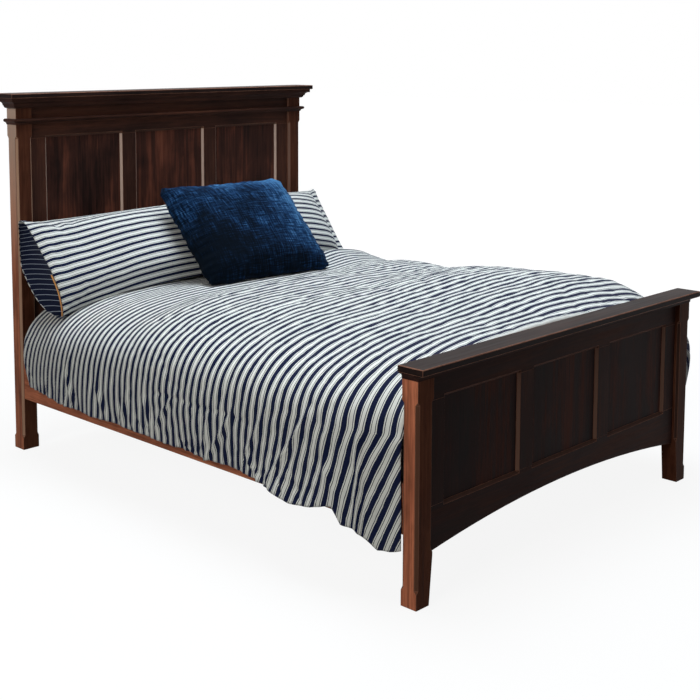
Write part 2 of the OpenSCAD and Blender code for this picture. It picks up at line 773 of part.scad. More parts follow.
// One mitred run of a profile: reach is the widest part, over all fronts and both ends
module moulding_front(front_y, low_z, height, reach, backing) {
    far = reach + cut;
    intersection() {
        union() {
            translate([-half_w - far, front_y, low_z]) rotate([90, 0, 90]) mirror([1, 0, 0])
                linear_extrude(bed_w + 2 * far) children();
            span([-inner_w / 2, front_y - cut, low_z], [inner_w / 2, front_y + backing, low_z + height]);
        }
        translate([0, 0, low_z]) linear_extrude(height) polygon([
            [-half_w - far + mitre_gap, front_y - far], [half_w + far - mitre_gap, front_y - far],
            [half_w - mitre_gap, front_y], [inner_w / 2, front_y], [inner_w / 2, front_y + backing],
            [-inner_w / 2, front_y + backing], [-inner_w / 2, front_y], [-half_w + mitre_gap, front_y]
        ]);
    }
}

module moulding_end(front_y, back_y, low_z, height, reach) {
    far = reach + cut;
    intersection() {
        translate([-half_w, back_y, low_z]) rotate([90, 0, 0]) mirror([1, 0, 0])
            linear_extrude(back_y - front_y + far) children();
        translate([0, 0, low_z]) linear_extrude(height) polygon([
            [-half_w - far, front_y - far + mitre_gap], [-half_w, front_y + mitre_gap],
            [-half_w, back_y], [-half_w - far, back_y]
        ]);
    }
}

module headboard_crown_moulding() {
    low_z = head_post_h - crown_h;
    color(espresso) {
        moulding_front(head_front_y, low_z, crown_h, crown_reach, head_recess) crown_profile();
        moulding_end(head_front_y, head_back_y, low_z, crown_h, crown_reach) crown_profile();
        on_right() moulding_end(head_front_y, head_back_y, low_z, crown_h, crown_reach) crown_profile();
    }
}

module headboard_bead_moulding() {
    low_z = bead_top_z - bead_h;
    color(espresso) {
        moulding_front(head_front_y, low_z, bead_h, bead_reach, head_recess) bead_profile();
        moulding_end(head_front_y, head_back_y, low_z, bead_h, bead_reach) bead_profile();
        on_right() moulding_end(head_front_y, head_back_y, low_z, bead_h, bead_reach) bead_profile();
    }
}

module footboard_cove_moulding() {
    low_z = foot_post_h - foot_cove_h;
    reach = foot_cove_reach;
    color(espresso) {
        moulding_front(foot_front_y, low_z, foot_cove_h, reach, foot_recess) foot_cove_profile();
        moulding_end(foot_front_y, foot_back_y, low_z, foot_cove_h, reach) foot_cove_profile();
        on_right() moulding_end(foot_front_y, foot_back_y, low_z, foot_cove_h, reach) foot_cove_profile();
    }
}

// Side rails, ledgers and their hardware

function ledger_screw_y(k) = foot_back_y + ledger_short + ledger_screw_end
    + k * (rail_len - 2 * ledger_short - 2 * ledger_screw_end) / (ledger_screws - 1);

module ledger_screw_row(play = 0) {
    for (k = [0:ledger_screws - 1]) {
        translate([-rail_x + ledger_w, ledger_screw_y(k), ledger_top_z - ledger_h / 2])
            rotate([0, 90, 0]) screw(ledger_screw_l, play);
    }
}

// Recess in a rail's end for its hook plate
module rail_end_recess(face_y, inward) {
    y_plate = face_y + inward * plate_t;
    span([-plate_x - plate_w / 2, min(face_y - inward * cut, y_plate), plate_z - plate_h / 2],
         [-plate_x + plate_w / 2, max(face_y - inward * cut, y_plate), plate_z + plate_h / 2]);
}

module rail_left() {
    color(espresso) difference() {
        span([-rail_x - rail_t, foot_back_y, rail_z], [-rail_x, head_front_y, rail_z + rail_h]);
        rail_end_recess(foot_back_y, 1);
        rail_end_recess(head_front_y, -1);
        rail_end_screws(foot_back_y, 1, screw_play);
        rail_end_screws(head_front_y, -1, screw_play);
        ledger_screw_row(screw_play);
    }
}

module side_rail_left() { rail_left(); }
module side_rail_right() { on_right() rail_left(); }

module ledger_strip() {
    color(hidden_wood) difference() {
        span([-rail_x, foot_back_y + ledger_short, ledger_top_z - ledger_h],
             [-rail_x + ledger_w, head_front_y - ledger_short, ledger_top_z]);
        ledger_screw_row(screw_play);
        slat_screw_side(screw_play);
    }
}

module ledger_left() { ledger_strip(); }
module ledger_right() { on_right() ledger_strip(); }

// Hook plate let into a rail's end; inward points along the rail, away from the post
module hook_plate(face_y, inward) {
    back_y = face_y + inward * plate_t;
    tip_y = face_y - inward * (plate_t + hook_reach);
    drop_y = face_y - inward * (plate_t + hook_play);
    difference() {
        span([-plate_x - plate_w / 2, min(face_y, back_y), plate_z - plate_h / 2],
             [-plate_x + plate_w / 2, max(face_y, back_y), plate_z + plate_h / 2]);
        rail_end_screws(face_y, inward, screw_play);
        corner_screw_heads(face_y);
    }
    for (z_off = [-1, 1]) {
        z_neck = plate_z + z_off * hook_pitch / 2;
        span([-plate_x - hook_t / 2, min(tip_y, face_y), z_neck],
             [-plate_x + hook_t / 2, max(tip_y, face_y), z_neck + hook_neck]);
        span([-plate_x - hook_t / 2, min(tip_y, drop_y), z_neck - hook_drop],
             [-plate_x + hook_t / 2, max(tip_y, drop_y), z_neck + hook_neck]);
    }
}

// Room in a hook plate for the heads of the screws in the plate behind it
module corner_screw_heads(face_y) {
    for (z_off = [-1, 1]) {
        translate([-plate_x, face_y, plate_z + z_off * (plate_h / 2 - post_screw_in)])
            rotate([90, 0, 0]) cylinder(h = 2 * cut, r = screw_head_r + screw_play, center = true, $fn = 24);
    }
}

// Slot plate let into a post; inward points into the post
module slot_plate(face_y, inward) {
    back_y = face_y + inward * plate_t;
    difference() {
        span([-plate_x - plate_w / 2, min(face_y, back_y), plate_z - plate_h / 2],
             [-plate_x + plate_w / 2, max(face_y, back_y), plate_z + plate_h / 2]);
        corner_screws(face_y, inward, screw_play);
        for (z_off = [-1, 1]) {
            z_neck = plate_z + z_off * hook_pitch / 2;
            span([-plate_x - hook_t / 2 - hook_play, min(face_y, back_y) - cut, z_neck],
                 [-plate_x + hook_t / 2 + hook_play, max(face_y, back_y) + cut,
                  z_neck + hook_neck + hook_drop + hook_play]);
        }
    }
}

module both_sides() {
    children();
    on_right() children();
}

module rail_hook_plates() {
    color(steel) both_sides() {
        hook_plate(foot_back_y, 1);
        hook_plate(head_front_y, -1);
    }
}

module post_slot_plates() {
    color(steel) both_sides() {
        slot_plate(foot_back_y, -1);
        slot_plate(head_front_y, 1);
    }
}

module plate_screws() {
    color(steel) both_sides() {
        corner_screws(foot_back_y, -1);
        corner_screws(head_front_y, 1);
        rail_end_screws(foot_back_y, 1);
        rail_end_screws(head_front_y, -1);
    }
}

module ledger_screws_set() {
    color(steel) both_sides() ledger_screw_row();
}

// Slats, centre beam, legs and levellers

function slat_y(i) = foot_back_y + slat_end + i * slat_pitch;

module slat_screw_side(play = 0) {
    for (i = [0:slat_count - 1]) {
        translate([-rail_x + ledger_w * 0.6, slat_y(i) + slat_w / 4, slat_top_z])
            screw(slat_screw_l, play);
    }
}

module slat_screw_middle(play = 0) {
    for (i = [0:slat_count - 1]) {
        translate([0, slat_y(i) - slat_w / 4, slat_top_z]) screw(slat_screw_l, play);
    }
}

module slat(i) {
    color(hidden_wood) difference() {
        span([-rail_x + slat_play, slat_y(i) - slat_w / 2, ledger_top_z],
             [rail_x - slat_play, slat_y(i) + slat_w / 2, slat_top_z]);
        both_sides() slat_screw_side(screw_play);
        slat_screw_middle(screw_play);
    }
}

module slat_1() { slat(0); }
module slat_2() { slat(1); }
module slat_3() { slat(2); }
module slat_4() { slat(3); }
module slat_5() { slat(4); }
module slat_6() { slat(5); }
module slat_7() { slat(6); }

module slat_screws() {
    color(steel) {
        both_sides() slat_screw_side();
        slat_screw_middle();
    }
}

module centre_beam() {
    color(hidden_wood) difference() {
        span([-beam_w / 2, foot_back_y + beam_short, beam_z],
             [beam_w / 2, head_front_y - beam_short, ledger_top_z]);
        slat_screw_middle(screw_play);
    }
}

function leg_y(i) = (foot_back_y + head_front_y) / 2 + (i - (leg_count - 1) / 2) * leg_pitch;

stud_room = stud_l + leveller_travel + stud_spare;

module centre_leg(i) {
    color(hidden_wood) difference() {
        span([-leg_w / 2, leg_y(i) - leg_w / 2, foot_pad_t + leveller_travel],
             [leg_w / 2, leg_y(i) + leg_w / 2, beam_z]);
        translate([0, leg_y(i), 0]) cylinder(h = foot_pad_t + stud_room, r = stud_r + stud_play, $fn = 48);
    }
}

module centre_leg_1() { centre_leg(0); }
module centre_leg_2() { centre_leg(1); }
module centre_leg_3() { centre_leg(2); }

// Round foot with a threaded stud that turns in the leg
module leveller(i) {
    color(steel) translate([0, leg_y(i), 0]) rotate_extrude($fn = 48) polygon([
        [0, 0], [foot_r - 1.5, 0], [foot_r, 1.5], [foot_r, foot_pad_t - 3], [stud_r + 4, foot_pad_t],
        [stud_r, foot_pad_t], [stud_r, foot_pad_t + stud_l], [0, foot_pad_t + stud_l]
    ]);
}

module leveller_1() { leveller(0); }
module leveller_2() { leveller(1); }
module leveller_3() { leveller(2); }

// Foundation and mattress

soft_mid_y = (foot_back_y + head_front_y) / 2;

module foundation() {
    color(ticking) translate([0, soft_mid_y, foundation_z]) linear_extrude(foundation_h)
        round_rect(mattress_w - 2 * foundation_inset, mattress_l - 2 * foundation_inset, foundation_corner);
}

module mattress() {
    mid_z = mattress_z + mattress_h / 2;
    color("white") intersection() {
        translate([0, soft_mid_y, mattress_z]) linear_extrude(mattress_h)
            round_rect(mattress_w, mattress_l, mattress_corner);
        translate([0, soft_mid_y + mattress_l / 2, mid_z]) rotate([90, 0, 0]) linear_extrude(mattress_l)
            round_rect(mattress_w, mattress_h, mattress_edge);
        translate([-mattress_w / 2, soft_mid_y, mid_z]) rotate([90, 0, 90]) linear_extrude(mattress_w)
            round_rect(mattress_l, mattress_h, mattress_edge);
    }
}

// Duvet: a drape over the mattress whose sides hang outside the rails

// Smooth step from 0 to 1 between two places
function ease(t) = let (s = min(max(t, 0), 1)) s * s * (3 - 2 * s);

// Distance along the bed as a share from the foot edge to the head edge
function along(y) = (y - duvet_foot_y) / duvet_len;

// Height of the crown: bunched up over the foot third, pressed down under the pillows
function crown_z(x, y) = let (t = along(y))
    mattress_top_z + duvet_rise
    + duvet_hump * (1 - ease((t - 0.30) / 0.22)) * ease(t / 0.16 + 0.15) * ease(x / duvet_hump_w + 0.5)
    + duvet_foot_lift * (1 - ease(t / 0.12))
    - duvet_press * (0.7 * ease((t - 0.60) / 0.10) + 0.3 * ease((t - 0.76) / 0.08));

// Puffs of the filling over the top
function puff(x, y) = duvet_puff * sin(360 * (y + x / 7.3) / duvet_puff_l)
    * cos(360 * x / (3.8 * duvet_puff_l));

// Half width of one side at its widest
function side_w(y, side) = let (t = along(y))
    half_w + duvet_bulge + duvet_foot_wide * (1 - ease((t - 0.15) / 0.35))
    - (side < 0 ? duvet_foot_tuck * (1 - ease(t / 0.15)) : 0)
    - duvet_head_tuck * ease((t - 0.8) / 0.2);

// How far the hem is drawn in below the widest part
function side_in(y, side) = let (t = along(y))
    side < 0
    ? duvet_hem_in * ease(t / 0.3) * (1 - 0.75 * ease((t - 0.75) / 0.25))
    : duvet_hem_in * (1 - 0.75 * ease((t - 0.75) / 0.25)) + duvet_hem_foot * (1 - ease(t / 0.3));

// Roundness of one side, squarer towards the two ends
function side_n(y, side) = let (t = along(y), foot = 1 - ease(t / 0.19))
    side < 0
    ? duvet_near_n + duvet_end_n * (0.5 * foot + ease((t - 0.7) / 0.3))
    : duvet_far_n - (duvet_far_n - duvet_near_n) * foot;

// Hem height along the bed, with the lower corners beside the foot posts
function hem_z(y, side) = let (t = along(y))
    hem_mid_z + (hem_head_z - hem_mid_z) * ease((t - 0.85) / 0.15)
    - (hem_mid_z - hem_foot_z) * (1 - ease(t / 0.20))
    + hem_wave * sin(360 * y / hem_wave_l + side * 40);

// Inward folds that grow from the bed's edge to the hem
function fold(y, drop, side) = -duvet_fold * (0.25 + 0.75 * drop) * ease((along(y) - 0.15) / 0.15)
    * (1 - sin(360 * y / duvet_fold_l + side * 70 + 35 * drop)) / 2;

// Section points of the hanging part on one side, from the hem up
function duvet_side_points(y, side) = [
    for (k = [0:duvet_side_steps - 1]) let (drop = 1 - k / duvet_side_steps)
        [side * (side_w(y, side) - side_in(y, side) * pow(drop, 1.5) + fold(y, drop, side)), y,
         duvet_wide_z - (duvet_wide_z - hem_z(y, side)) * drop]
];

// Section points of the top on one side, from the widest point up to the crown
function duvet_top_points(y, side) = let (n = side_n(y, side)) [
    for (k = [0:duvet_quarter - 1]) let (
            a = 90 * k / duvet_quarter,
            x = side * (side_w(y, side) + fold(y, 0, side) * cos(a)) * pow(cos(a), 2 / n))
        [x, y, duvet_wide_z + (crown_z(x, y) + puff(x, y) - duvet_wide_z) * pow(sin(a), 2 / n)]
];

function reversed(list) = [for (i = [len(list) - 1:-1:0]) list[i]];

function duvet_y(i) = duvet_foot_y + duvet_len * i / (duvet_rows - 1);

duvet_tops = [for (i = [0:duvet_rows - 1]) let (y = duvet_y(i)) concat(
    duvet_top_points(y, -1), [[0, y, crown_z(0, y) + puff(0, y)]], reversed(duvet_top_points(y, 1))
)];

function row_z(x, i) = lookup(x, [for (p = duvet_tops[i]) [p.x, p.z]]);

// Height of the finished top under a point
function duvet_top(x, y) = let (
        s = min(max(along(y), 0), 0.9999) * (duvet_rows - 1),
        i = floor(s)
    ) row_z(x, i) * (1 - s + i) + row_z(x, i + 1) * (s - i);

// Points of the underside on one side: down the rail, round the mattress's edge and over its top
function duvet_under_points(y, side) = let (
        flat_x = mattress_w / 2 - mattress_edge * (1 - tan(22.5)) + duvet_edge_gap,
        flat_z = mattress_top_z + soft_gap,
        turn_x = (duvet_inner_x + mattress_w / 2) / 2,
        steps = duvet_quarter - 3
    ) concat(
    [for (p = duvet_side_points(y, side)) [side * duvet_inner_x, y, p.z]],
    [[side * duvet_inner_x, y, duvet_wide_z],
     [side * (duvet_inner_x - cut), y, duvet_wide_z + duvet_turn_up]],
    [[side * turn_x, y, flat_z - (turn_x - flat_x)]],
    [for (k = [0:steps - 1]) [side * flat_x * (1 - k / steps), y, flat_z]]
);

module duvet() {
    outer = [for (i = [0:duvet_rows - 1]) concat(
        duvet_side_points(duvet_y(i), -1), duvet_tops[i], reversed(duvet_side_points(duvet_y(i), 1))
    )];
    under = [for (i = [0:duvet_rows - 1]) let (y = duvet_y(i)) concat(
        duvet_under_points(y, -1), [[0, y, mattress_top_z + soft_gap]], reversed(duvet_under_points(y, 1))
    )];
    color(ticking) net_form(outer, under);
}

// Pillows: crowned forms with a flat open flange, leaning towards the headboard

pillow_rows = 23;
pillow_steps = 18;

// Share of the full thickness along the pillow, from its inner end to its open flange
function pillow_plump(u) = let (
        body = pillow_l - pillow_flange,
        s = u * pillow_l
    ) s > body ? 0 : pow(max(1 - pow(abs(2 * s / body - 1), 2.6), 0), 0.5);

// One pillow section: points from the lower edge to the upper edge on the front or the back face
function pillow_section(u, face, side, end_slope) = let (
        slope = pillow_slope + end_slope * ease((u - 0.35) / 0.65),
        half = pillow_w / 2 * (1 - 0.05 * sin(180 * u)),
        thick = pillow_seam + (pillow_t - pillow_seam) * pillow_plump(u),
        mid_y = head_front_y - pillow_back - half * cos(slope),
        mid_z = mattress_top_z + pillow_top - half * sin(slope)
    ) [for (k = [0:pillow_steps]) let (
            v = -cos(180 * k / pillow_steps),
            t = max(thick / 2 * pow(max(1 - pow(abs(v), 2.4), 0), 0.55), pillow_seam / 2),
            x = side * (pillow_part / 2 + u * pillow_l - pillow_corner_in * ease(u) * (1 - v) / 2))
        [x, mid_y + v * half * cos(slope) - face * t * sin(slope),
         mid_z + v * half * sin(slope) + face * t * cos(slope)]];

// Keeps a point of a soft form a little above the duvet's top
function above_duvet(p, gap) = [p.x, p.y, max(p.z, duvet_top(p.x, p.y) + gap)];

module pillow(side, end_slope) {
    order = side > 0 ? [0:pillow_rows - 1] : [pillow_rows - 1:-1:0];
    front = [for (i = order) [for (p = pillow_section(i / (pillow_rows - 1), 1, side, end_slope))
        above_duvet(p, pillow_gap + pillow_seam)]];
    back = [for (i = order) [for (p = pillow_section(i / (pillow_rows - 1), -1, side, end_slope))
        above_duvet(p, pillow_gap)]];
    color(ticking) net_form_x(front, back);
}

module pillow_left() { pillow(-1, near_end_slope); }
module pillow_right() { pillow(1, far_end_slope); }

// Square cushion: crowned, with drawn-in sides and pinched corners

cushion_rows = 20;
cushion_y = head_front_y - cushion_from_head;

function cushion_point(u, v, face) = let (
        draw_u = 1 - 2 * cushion_draw / cushion_w * (1 - pow(abs(v), 2.5)),
        draw_v = 1 - 2 * cushion_draw / cushion_h * (1 - pow(abs(u), 2.5)),
        a = u * cushion_w / 2 * draw_u,
        b = v * cushion_h / 2 * draw_v,
        plump = pow(max((1 - pow(abs(u), 2.2)) * (1 - pow(abs(v), 2.2)), 0), 0.42),
        t = cushion_seam / 2 + (cushion_t - cushion_seam) / 2 * plump,
        up_y = b * cos(cushion_slope) - face * t * sin(cushion_slope),
        up_z = b * sin(cushion_slope) + face * t * cos(cushion_slope),
        low_mid = cushion_h / 2 * sin(cushion_slope)
    ) [
        cushion_x + a * cos(cushion_turn) + up_y * sin(cushion_turn),
        cushion_y + cushion_h / 2 * cos(cushion_slope) - a * sin(cushion_turn) + up_y * cos(cushion_turn),
        duvet_top(cushion_x, cushion_y) - cushion_sink + low_mid + up_z
    ];

module denim_cushion() {
    upper = [for (i = [0:cushion_rows]) [for (j = [0:cushion_rows])
        above_duvet(cushion_point(-cos(180 * i / cushion_rows), -cos(180 * j / cushion_rows), 1),
                      cushion_gap + cushion_seam)]];
    lower = [for (i = [0:cushion_rows]) [for (j = [0:cushion_rows])
        above_duvet(cushion_point(-cos(180 * i / cushion_rows), -cos(180 * j / cushion_rows), -1),
                      cushion_gap)]];
    color(denim) net_form_x(upper, lower);
}

headboard_post_left();
headboard_post_right();
headboard_cap();
headboard_crown_moulding();
headboard_frieze();
headboard_bead_moulding();
headboard_top_rail();
headboard_bottom_rail();
headboard_stile_left();
headboard_stile_right();
headboard_muntin_left();
headboard_muntin_right();
headboard_panel_left();
headboard_panel_centre();
headboard_panel_right();
footboard_post_left();
footboard_post_right();
footboard_cap();
footboard_cove_moulding();
footboard_top_rail();
footboard_arched_rail();
footboard_stile_left();
footboard_stile_right();
footboard_muntin_left();
footboard_muntin_right();
footboard_panel_left();
footboard_panel_centre();
footboard_panel_right();
side_rail_left();
side_rail_right();
ledger_left();
ledger_right();
rail_hook_plates();
post_slot_plates();
plate_screws();
ledger_screws_set();
slat_screws();
slat_1();
slat_2();
slat_3();
slat_4();
slat_5();
slat_6();
slat_7();
centre_beam();
centre_leg_1();
centre_leg_2();
centre_leg_3();
leveller_1();
leveller_2();
leveller_3();
foundation();
mattress();
duvet();
pillow_left();
pillow_right();
denim_cushion();
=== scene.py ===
import math

import bmesh
import bpy
import numpy as np
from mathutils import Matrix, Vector, noise
from mathutils.bvhtree import BVHTree


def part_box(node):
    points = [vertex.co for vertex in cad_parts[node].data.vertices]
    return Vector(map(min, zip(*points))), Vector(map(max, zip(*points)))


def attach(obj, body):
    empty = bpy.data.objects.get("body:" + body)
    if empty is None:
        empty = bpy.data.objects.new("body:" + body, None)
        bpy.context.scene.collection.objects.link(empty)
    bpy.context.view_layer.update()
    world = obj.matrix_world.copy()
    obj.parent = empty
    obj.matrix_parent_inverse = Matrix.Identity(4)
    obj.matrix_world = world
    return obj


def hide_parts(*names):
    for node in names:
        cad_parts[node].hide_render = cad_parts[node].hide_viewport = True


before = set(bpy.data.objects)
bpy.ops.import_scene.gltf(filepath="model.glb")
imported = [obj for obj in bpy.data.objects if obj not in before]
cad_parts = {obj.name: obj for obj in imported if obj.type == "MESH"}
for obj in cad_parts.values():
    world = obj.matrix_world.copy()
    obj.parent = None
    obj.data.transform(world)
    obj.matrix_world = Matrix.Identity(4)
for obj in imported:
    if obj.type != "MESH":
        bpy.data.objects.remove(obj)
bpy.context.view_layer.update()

scene = bpy.context.scene


# Camera: off the bed's near foot corner at eye height, as for a catalogue picture.
# A part of the view's fall is lens shift, so that the upright posts stay close to upright.
camera_data = bpy.data.cameras.new("camera")
camera = bpy.data.objects.new("camera", camera_data)
scene.collection.objects.link(camera)
camera.location = (-3.5708, -3.3761, 1.6795)
camera.rotation_euler = (math.radians(84), 0, math.radians(-45.293))
camera_data.sensor_width = 36
camera_data.lens = 63.73
camera_data.shift_x = 0.0552
camera_data.shift_y = -0.2437
camera_data.clip_end = 100
scene.camera = camera
scene.view_settings.view_transform = "Standard"


# Studio: a seamless pale floor under a white surround, lit by soft boxes.
# The large one stands to the left, one hangs overhead and a weak one fills from the foot.
def new_node(owner, kind, inputs=(), **settings):
    made = owner.node_tree.nodes.new(kind)
    for name, value in settings.items():
        setattr(made, name, value)
    for socket, value in dict(inputs).items():
        if isinstance(value, bpy.types.NodeSocket):
            owner.node_tree.links.new(value, made.inputs[socket])
        else:
            made.inputs[socket].default_value = value
    return made


def calc(owner, operation, a, b=0.0, c=0.0):
    return new_node(owner, "ShaderNodeMath", {0: a, 1: b, 2: c}, operation=operation).outputs[0]


def empty_material(name):
    made = bpy.data.materials.new(name)
    made.use_nodes = True
    made.node_tree.nodes.clear()
    return made


def seen_directly(owner):
    """1 for rays from the camera and for those that glossy or clear surfaces send on."""
    path = new_node(owner, "ShaderNodeLightPath")
    seen = calc(owner, "MAXIMUM", path.outputs["Is Camera Ray"], path.outputs["Is Glossy Ray"])
    return calc(owner, "MAXIMUM", seen, path.outputs["Is Transmission Ray"])


surround = bpy.data.worlds.new("surround")
scene.world = surround
surround.use_nodes = True
surround.node_tree.nodes.clear()
dim = new_node(surround, "ShaderNodeBackground", {"Color": (0.93, 0.96, 1, 1), "Strength": 0.06})
white = new_node(surround, "ShaderNodeBackground", {"Color": (1, 1, 1, 1), "Strength": 1})
shown = new_node(surround, "ShaderNodeMixShader",
                 {0: seen_directly(surround), 1: dim.outputs[0], 2: white.outputs[0]})
new_node(surround, "ShaderNodeOutputWorld", {"Surface": shown.outputs[0]})

floor_paint = empty_material("pale_floor")
floor_place = new_node(floor_paint, "ShaderNodeTexCoord").outputs["Object"]
reach = new_node(floor_paint, "ShaderNodeVectorMath", {0: floor_place}, operation="LENGTH")
level = new_node(floor_paint, "ShaderNodeMapRange",
                 {"Value": reach.outputs["Value"], "From Min": 1.5, "From Max": 5.0,
                  "To Min": 0.90, "To Max": 1.0}, interpolation_type="SMOOTHSTEP")
dull = new_node(floor_paint, "ShaderNodeBsdfDiffuse", {"Color": (0.11, 0.108, 0.105, 1)})
glow = new_node(floor_paint, "ShaderNodeEmission",
                {"Color": (1, 1, 1, 1), "Strength": level.outputs[0]})
shade = new_node(floor_paint, "ShaderNodeBsdfDiffuse", {"Color": (0.11, 0.11, 0.11, 1)})
lit = new_node(floor_paint, "ShaderNodeAddShader", {0: glow.outputs[0], 1: shade.outputs[0]})
either = new_node(floor_paint, "ShaderNodeMixShader",
                  {0: seen_directly(floor_paint), 1: dull.outputs[0], 2: lit.outputs[0]})
new_node(floor_paint, "ShaderNodeOutputMaterial", {"Surface": either.outputs[0]})


def finish_mesh(bm, name, *materials):
    """Turns a bmesh into an object at the origin with these materials."""
    mesh = bpy.data.meshes.new(name)
    bm.to_mesh(mesh)
    bm.free()
    for material in materials:
        mesh.materials.append(material)
    made = bpy.data.objects.new(name, mesh)
    scene.collection.objects.link(made)
    return made


floor_half_width = 30
floor_drop = 0.0006
bm = bmesh.new()
bmesh.ops.create_grid(bm, x_segments=2, y_segments=2, size=floor_half_width)
bmesh.ops.translate(bm, verts=bm.verts, vec=(0, 0, -floor_drop))
floor = finish_mesh(bm, "studio_floor", floor_paint)

for name, place, size, power, tint, aim in (
        ("left_soft_box", (-5.5, -1.3, 2.9), 2.8, 108, (1, 0.975, 0.915), (0, 0, 0.55)),
        ("overhead_soft_box", (0.3, 0.3, 5.6), 3.6, 306, (0.85, 0.935, 1), (0, 0, 0.5)),
        ("foot_fill", (-1.6, -6.4, 2.6), 2.6, 6, (1, 1, 1), (0, 0, 0.5))):
    lamp_data = bpy.data.lights.new(name, "AREA")
    lamp_data.shape = "SQUARE"
    lamp_data.size = size
    lamp_data.energy = power
    lamp_data.color = tint
    lamp = bpy.data.objects.new(name, lamp_data)
    scene.collection.objects.link(lamp)
    lamp.location = place
    lamp.rotation_euler = (Vector(aim) - Vector(place)).to_track_quat("-Z", "Y").to_euler()


# Frame timber: solid cherry under a nearly black espresso stain and a satin lacquer.
# The grain runs along every board, and the flat panels show the most red. The posts' and side rails'
# faces that look sideways are painted lighter and their other faces darker, as painted light and shade,
# and the posts' lit sides turn paler high up with a painted sheen. The chamfers and the boards' edges
# are paler by wear and painted highlight, and the footboard and the caps are painted darker as painted
# shade.
def ranged(owner, value, low, high, to_low, to_high):
    return new_node(owner, "ShaderNodeMapRange",
                    {"Value": value, "From Min": low, "From Max": high,
                     "To Min": to_low, "To Max": to_high}).outputs[0]


def scaled(owner, colour, level):
    return new_node(owner, "ShaderNodeVectorMath", {0: colour, "Scale": level},
                    operation="SCALE").outputs[0]


def blended(owner, share, first, second):
    return new_node(owner, "ShaderNodeMix", {0: share, 6: first, 7: second},
                    data_type="RGBA").outputs[2]


def colour_ramp(owner, value, stops):
    """Turns a value into colours, from stops of a position and a colour in rising order."""
    ramp = new_node(owner, "ShaderNodeValToRGB", {"Fac": value})
    elements = ramp.color_ramp.elements
    for element, (position, colour) in zip((elements[0], elements[1]), (stops[0], stops[-1])):
        element.position = position
        element.color = (*colour, 1)
    for position, colour in stops[1:-1]:
        elements.new(position).color = (*colour, 1)
    return ramp.outputs[0]


def noise_at(owner, place, detail, scale=1.0, rough=0.5, warp=0.0):
    return new_node(owner, "ShaderNodeTexNoise",
                    {"Vector": place, "Scale": scale, "Detail": detail, "Roughness": rough,
                     "Distortion": warp}).outputs[0]


def stretched(owner, place, scale, shift=(0, 0, 0)):
    return new_node(owner, "ShaderNodeMapping",
                    {"Vector": place, "Location": shift, "Scale": scale}).outputs[0]


def weighted(owner, *parts):
    """The sum of some values, each times its weight."""
    total = 0.0
    for value, weight in parts:
        total = calc(owner, "MULTIPLY_ADD", value, weight, total)
    return total


def coat_with(material, looks):
    """Ends a material in one principled shader."""
    shader = new_node(material, "ShaderNodeBsdfPrincipled", looks)
    new_node(material, "ShaderNodeOutputMaterial", {"Surface": shader.outputs[0]})


# The pale colour and the heights over which the posts' lit sides blend to it: a painted sheen.
painted_sheen = (0.78, 0.58, 0.47, 1)
sheen_starts, sheen_ends = 0.75, 1.45


def stained_wood(name, run, dark, middle, light, offset=0.0, gloss=0.50, wear_and_highlight=None, sides=None,
                 shine=0.05):
    """Wood with its grain along one axis, from its dark streaks to its light ones.

    Chamfers take the colour given for wear and painted highlight. With side levels given, the faces
    that look sideways and the others get a level each, painted light and painted shade, and the first
    ones turn paler with height towards a painted sheen by the share that comes third.
    """
    made = empty_material(name)
    coords = new_node(made, "ShaderNodeTexCoord").outputs["Object"]

    def streaks(across, along, detail, rough, warp, shift):
        stretch = [across, across, across]
        stretch["XYZ".index(run)] = along
        mapped = stretched(made, coords, stretch, (shift, shift * 1.7, shift * 0.6))
        return noise_at(made, mapped, detail, rough=rough, warp=warp)

    figure = streaks(across=9.0, along=1.3, detail=4, rough=0.58, warp=1.1, shift=offset)
    fibres = streaks(across=85.0, along=3.0, detail=6, rough=0.62, warp=0.2, shift=offset + 3.1)
    pores = streaks(across=420.0, along=14.0, detail=3, rough=0.5, warp=0.0, shift=offset + 7.7)
    blotch = streaks(across=5.0, along=3.6, detail=3, rough=0.55, warp=0.5, shift=offset + 11.3)
    mixed = weighted(made, (fibres, 0.32), (figure, 0.40), (blotch, 0.28))
    stained = colour_ramp(made, mixed, [(0.39, dark), (0.50, middle), (0.62, light)])
    toned = scaled(made, stained, ranged(made, pores, 0.30, 0.46, 0.62, 1.0))
    facing = new_node(made, "ShaderNodeSeparateXYZ",
                      {0: new_node(made, "ShaderNodeTexCoord").outputs["Normal"]}).outputs
    # Painted light and shade: sideways faces are scaled lighter and the others darker, and the sideways
    # ones blend to a painted sheen high up.
    if sides:
        lit_side_level, shaded_face_level, top_sheen_share = sides
        to_side = ranged(made, calc(made, "ABSOLUTE", facing[0]), 0.5, 0.9, 0.0, 1.0)
        toned = scaled(made, toned, ranged(made, to_side, 0.0, 1.0, shaded_face_level, lit_side_level))
        height = new_node(made, "ShaderNodeSeparateXYZ", {0: coords}).outputs[2]
        sheen_mix = ranged(made, height, sheen_starts, sheen_ends, 0.0, top_sheen_share)
        toned = blended(made, calc(made, "MULTIPLY", sheen_mix, to_side), toned, painted_sheen)
    # Chamfers are painted paler: wear and painted highlight.
    if wear_and_highlight:
        over_upright = calc(made, "ABSOLUTE", calc(made, "MULTIPLY", facing[0], facing[1]))
        over_level = calc(made, "ABSOLUTE", calc(made, "MULTIPLY", facing[2], facing[1]))
        slanting = calc(made, "MAXIMUM", over_upright, over_level)
        toned = blended(made, ranged(made, slanting, 0.28, 0.46, 0.0, 1.0), toned, (*wear_and_highlight, 1))
    relief = weighted(made, (pores, 0.3), (fibres, 0.7))
    grain = new_node(made, "ShaderNodeBump", {"Strength": 0.22, "Distance": 0.0006, "Height": relief})
    roughness = ranged(made, fibres, 0.3, 0.7, gloss - 0.05, gloss + 0.08)
    coat_with(made, {"Base Color": toned, "Roughness": roughness, "Normal": grain.outputs[0],
                     "Specular IOR Level": shine, "IOR": 1.5})
    return made


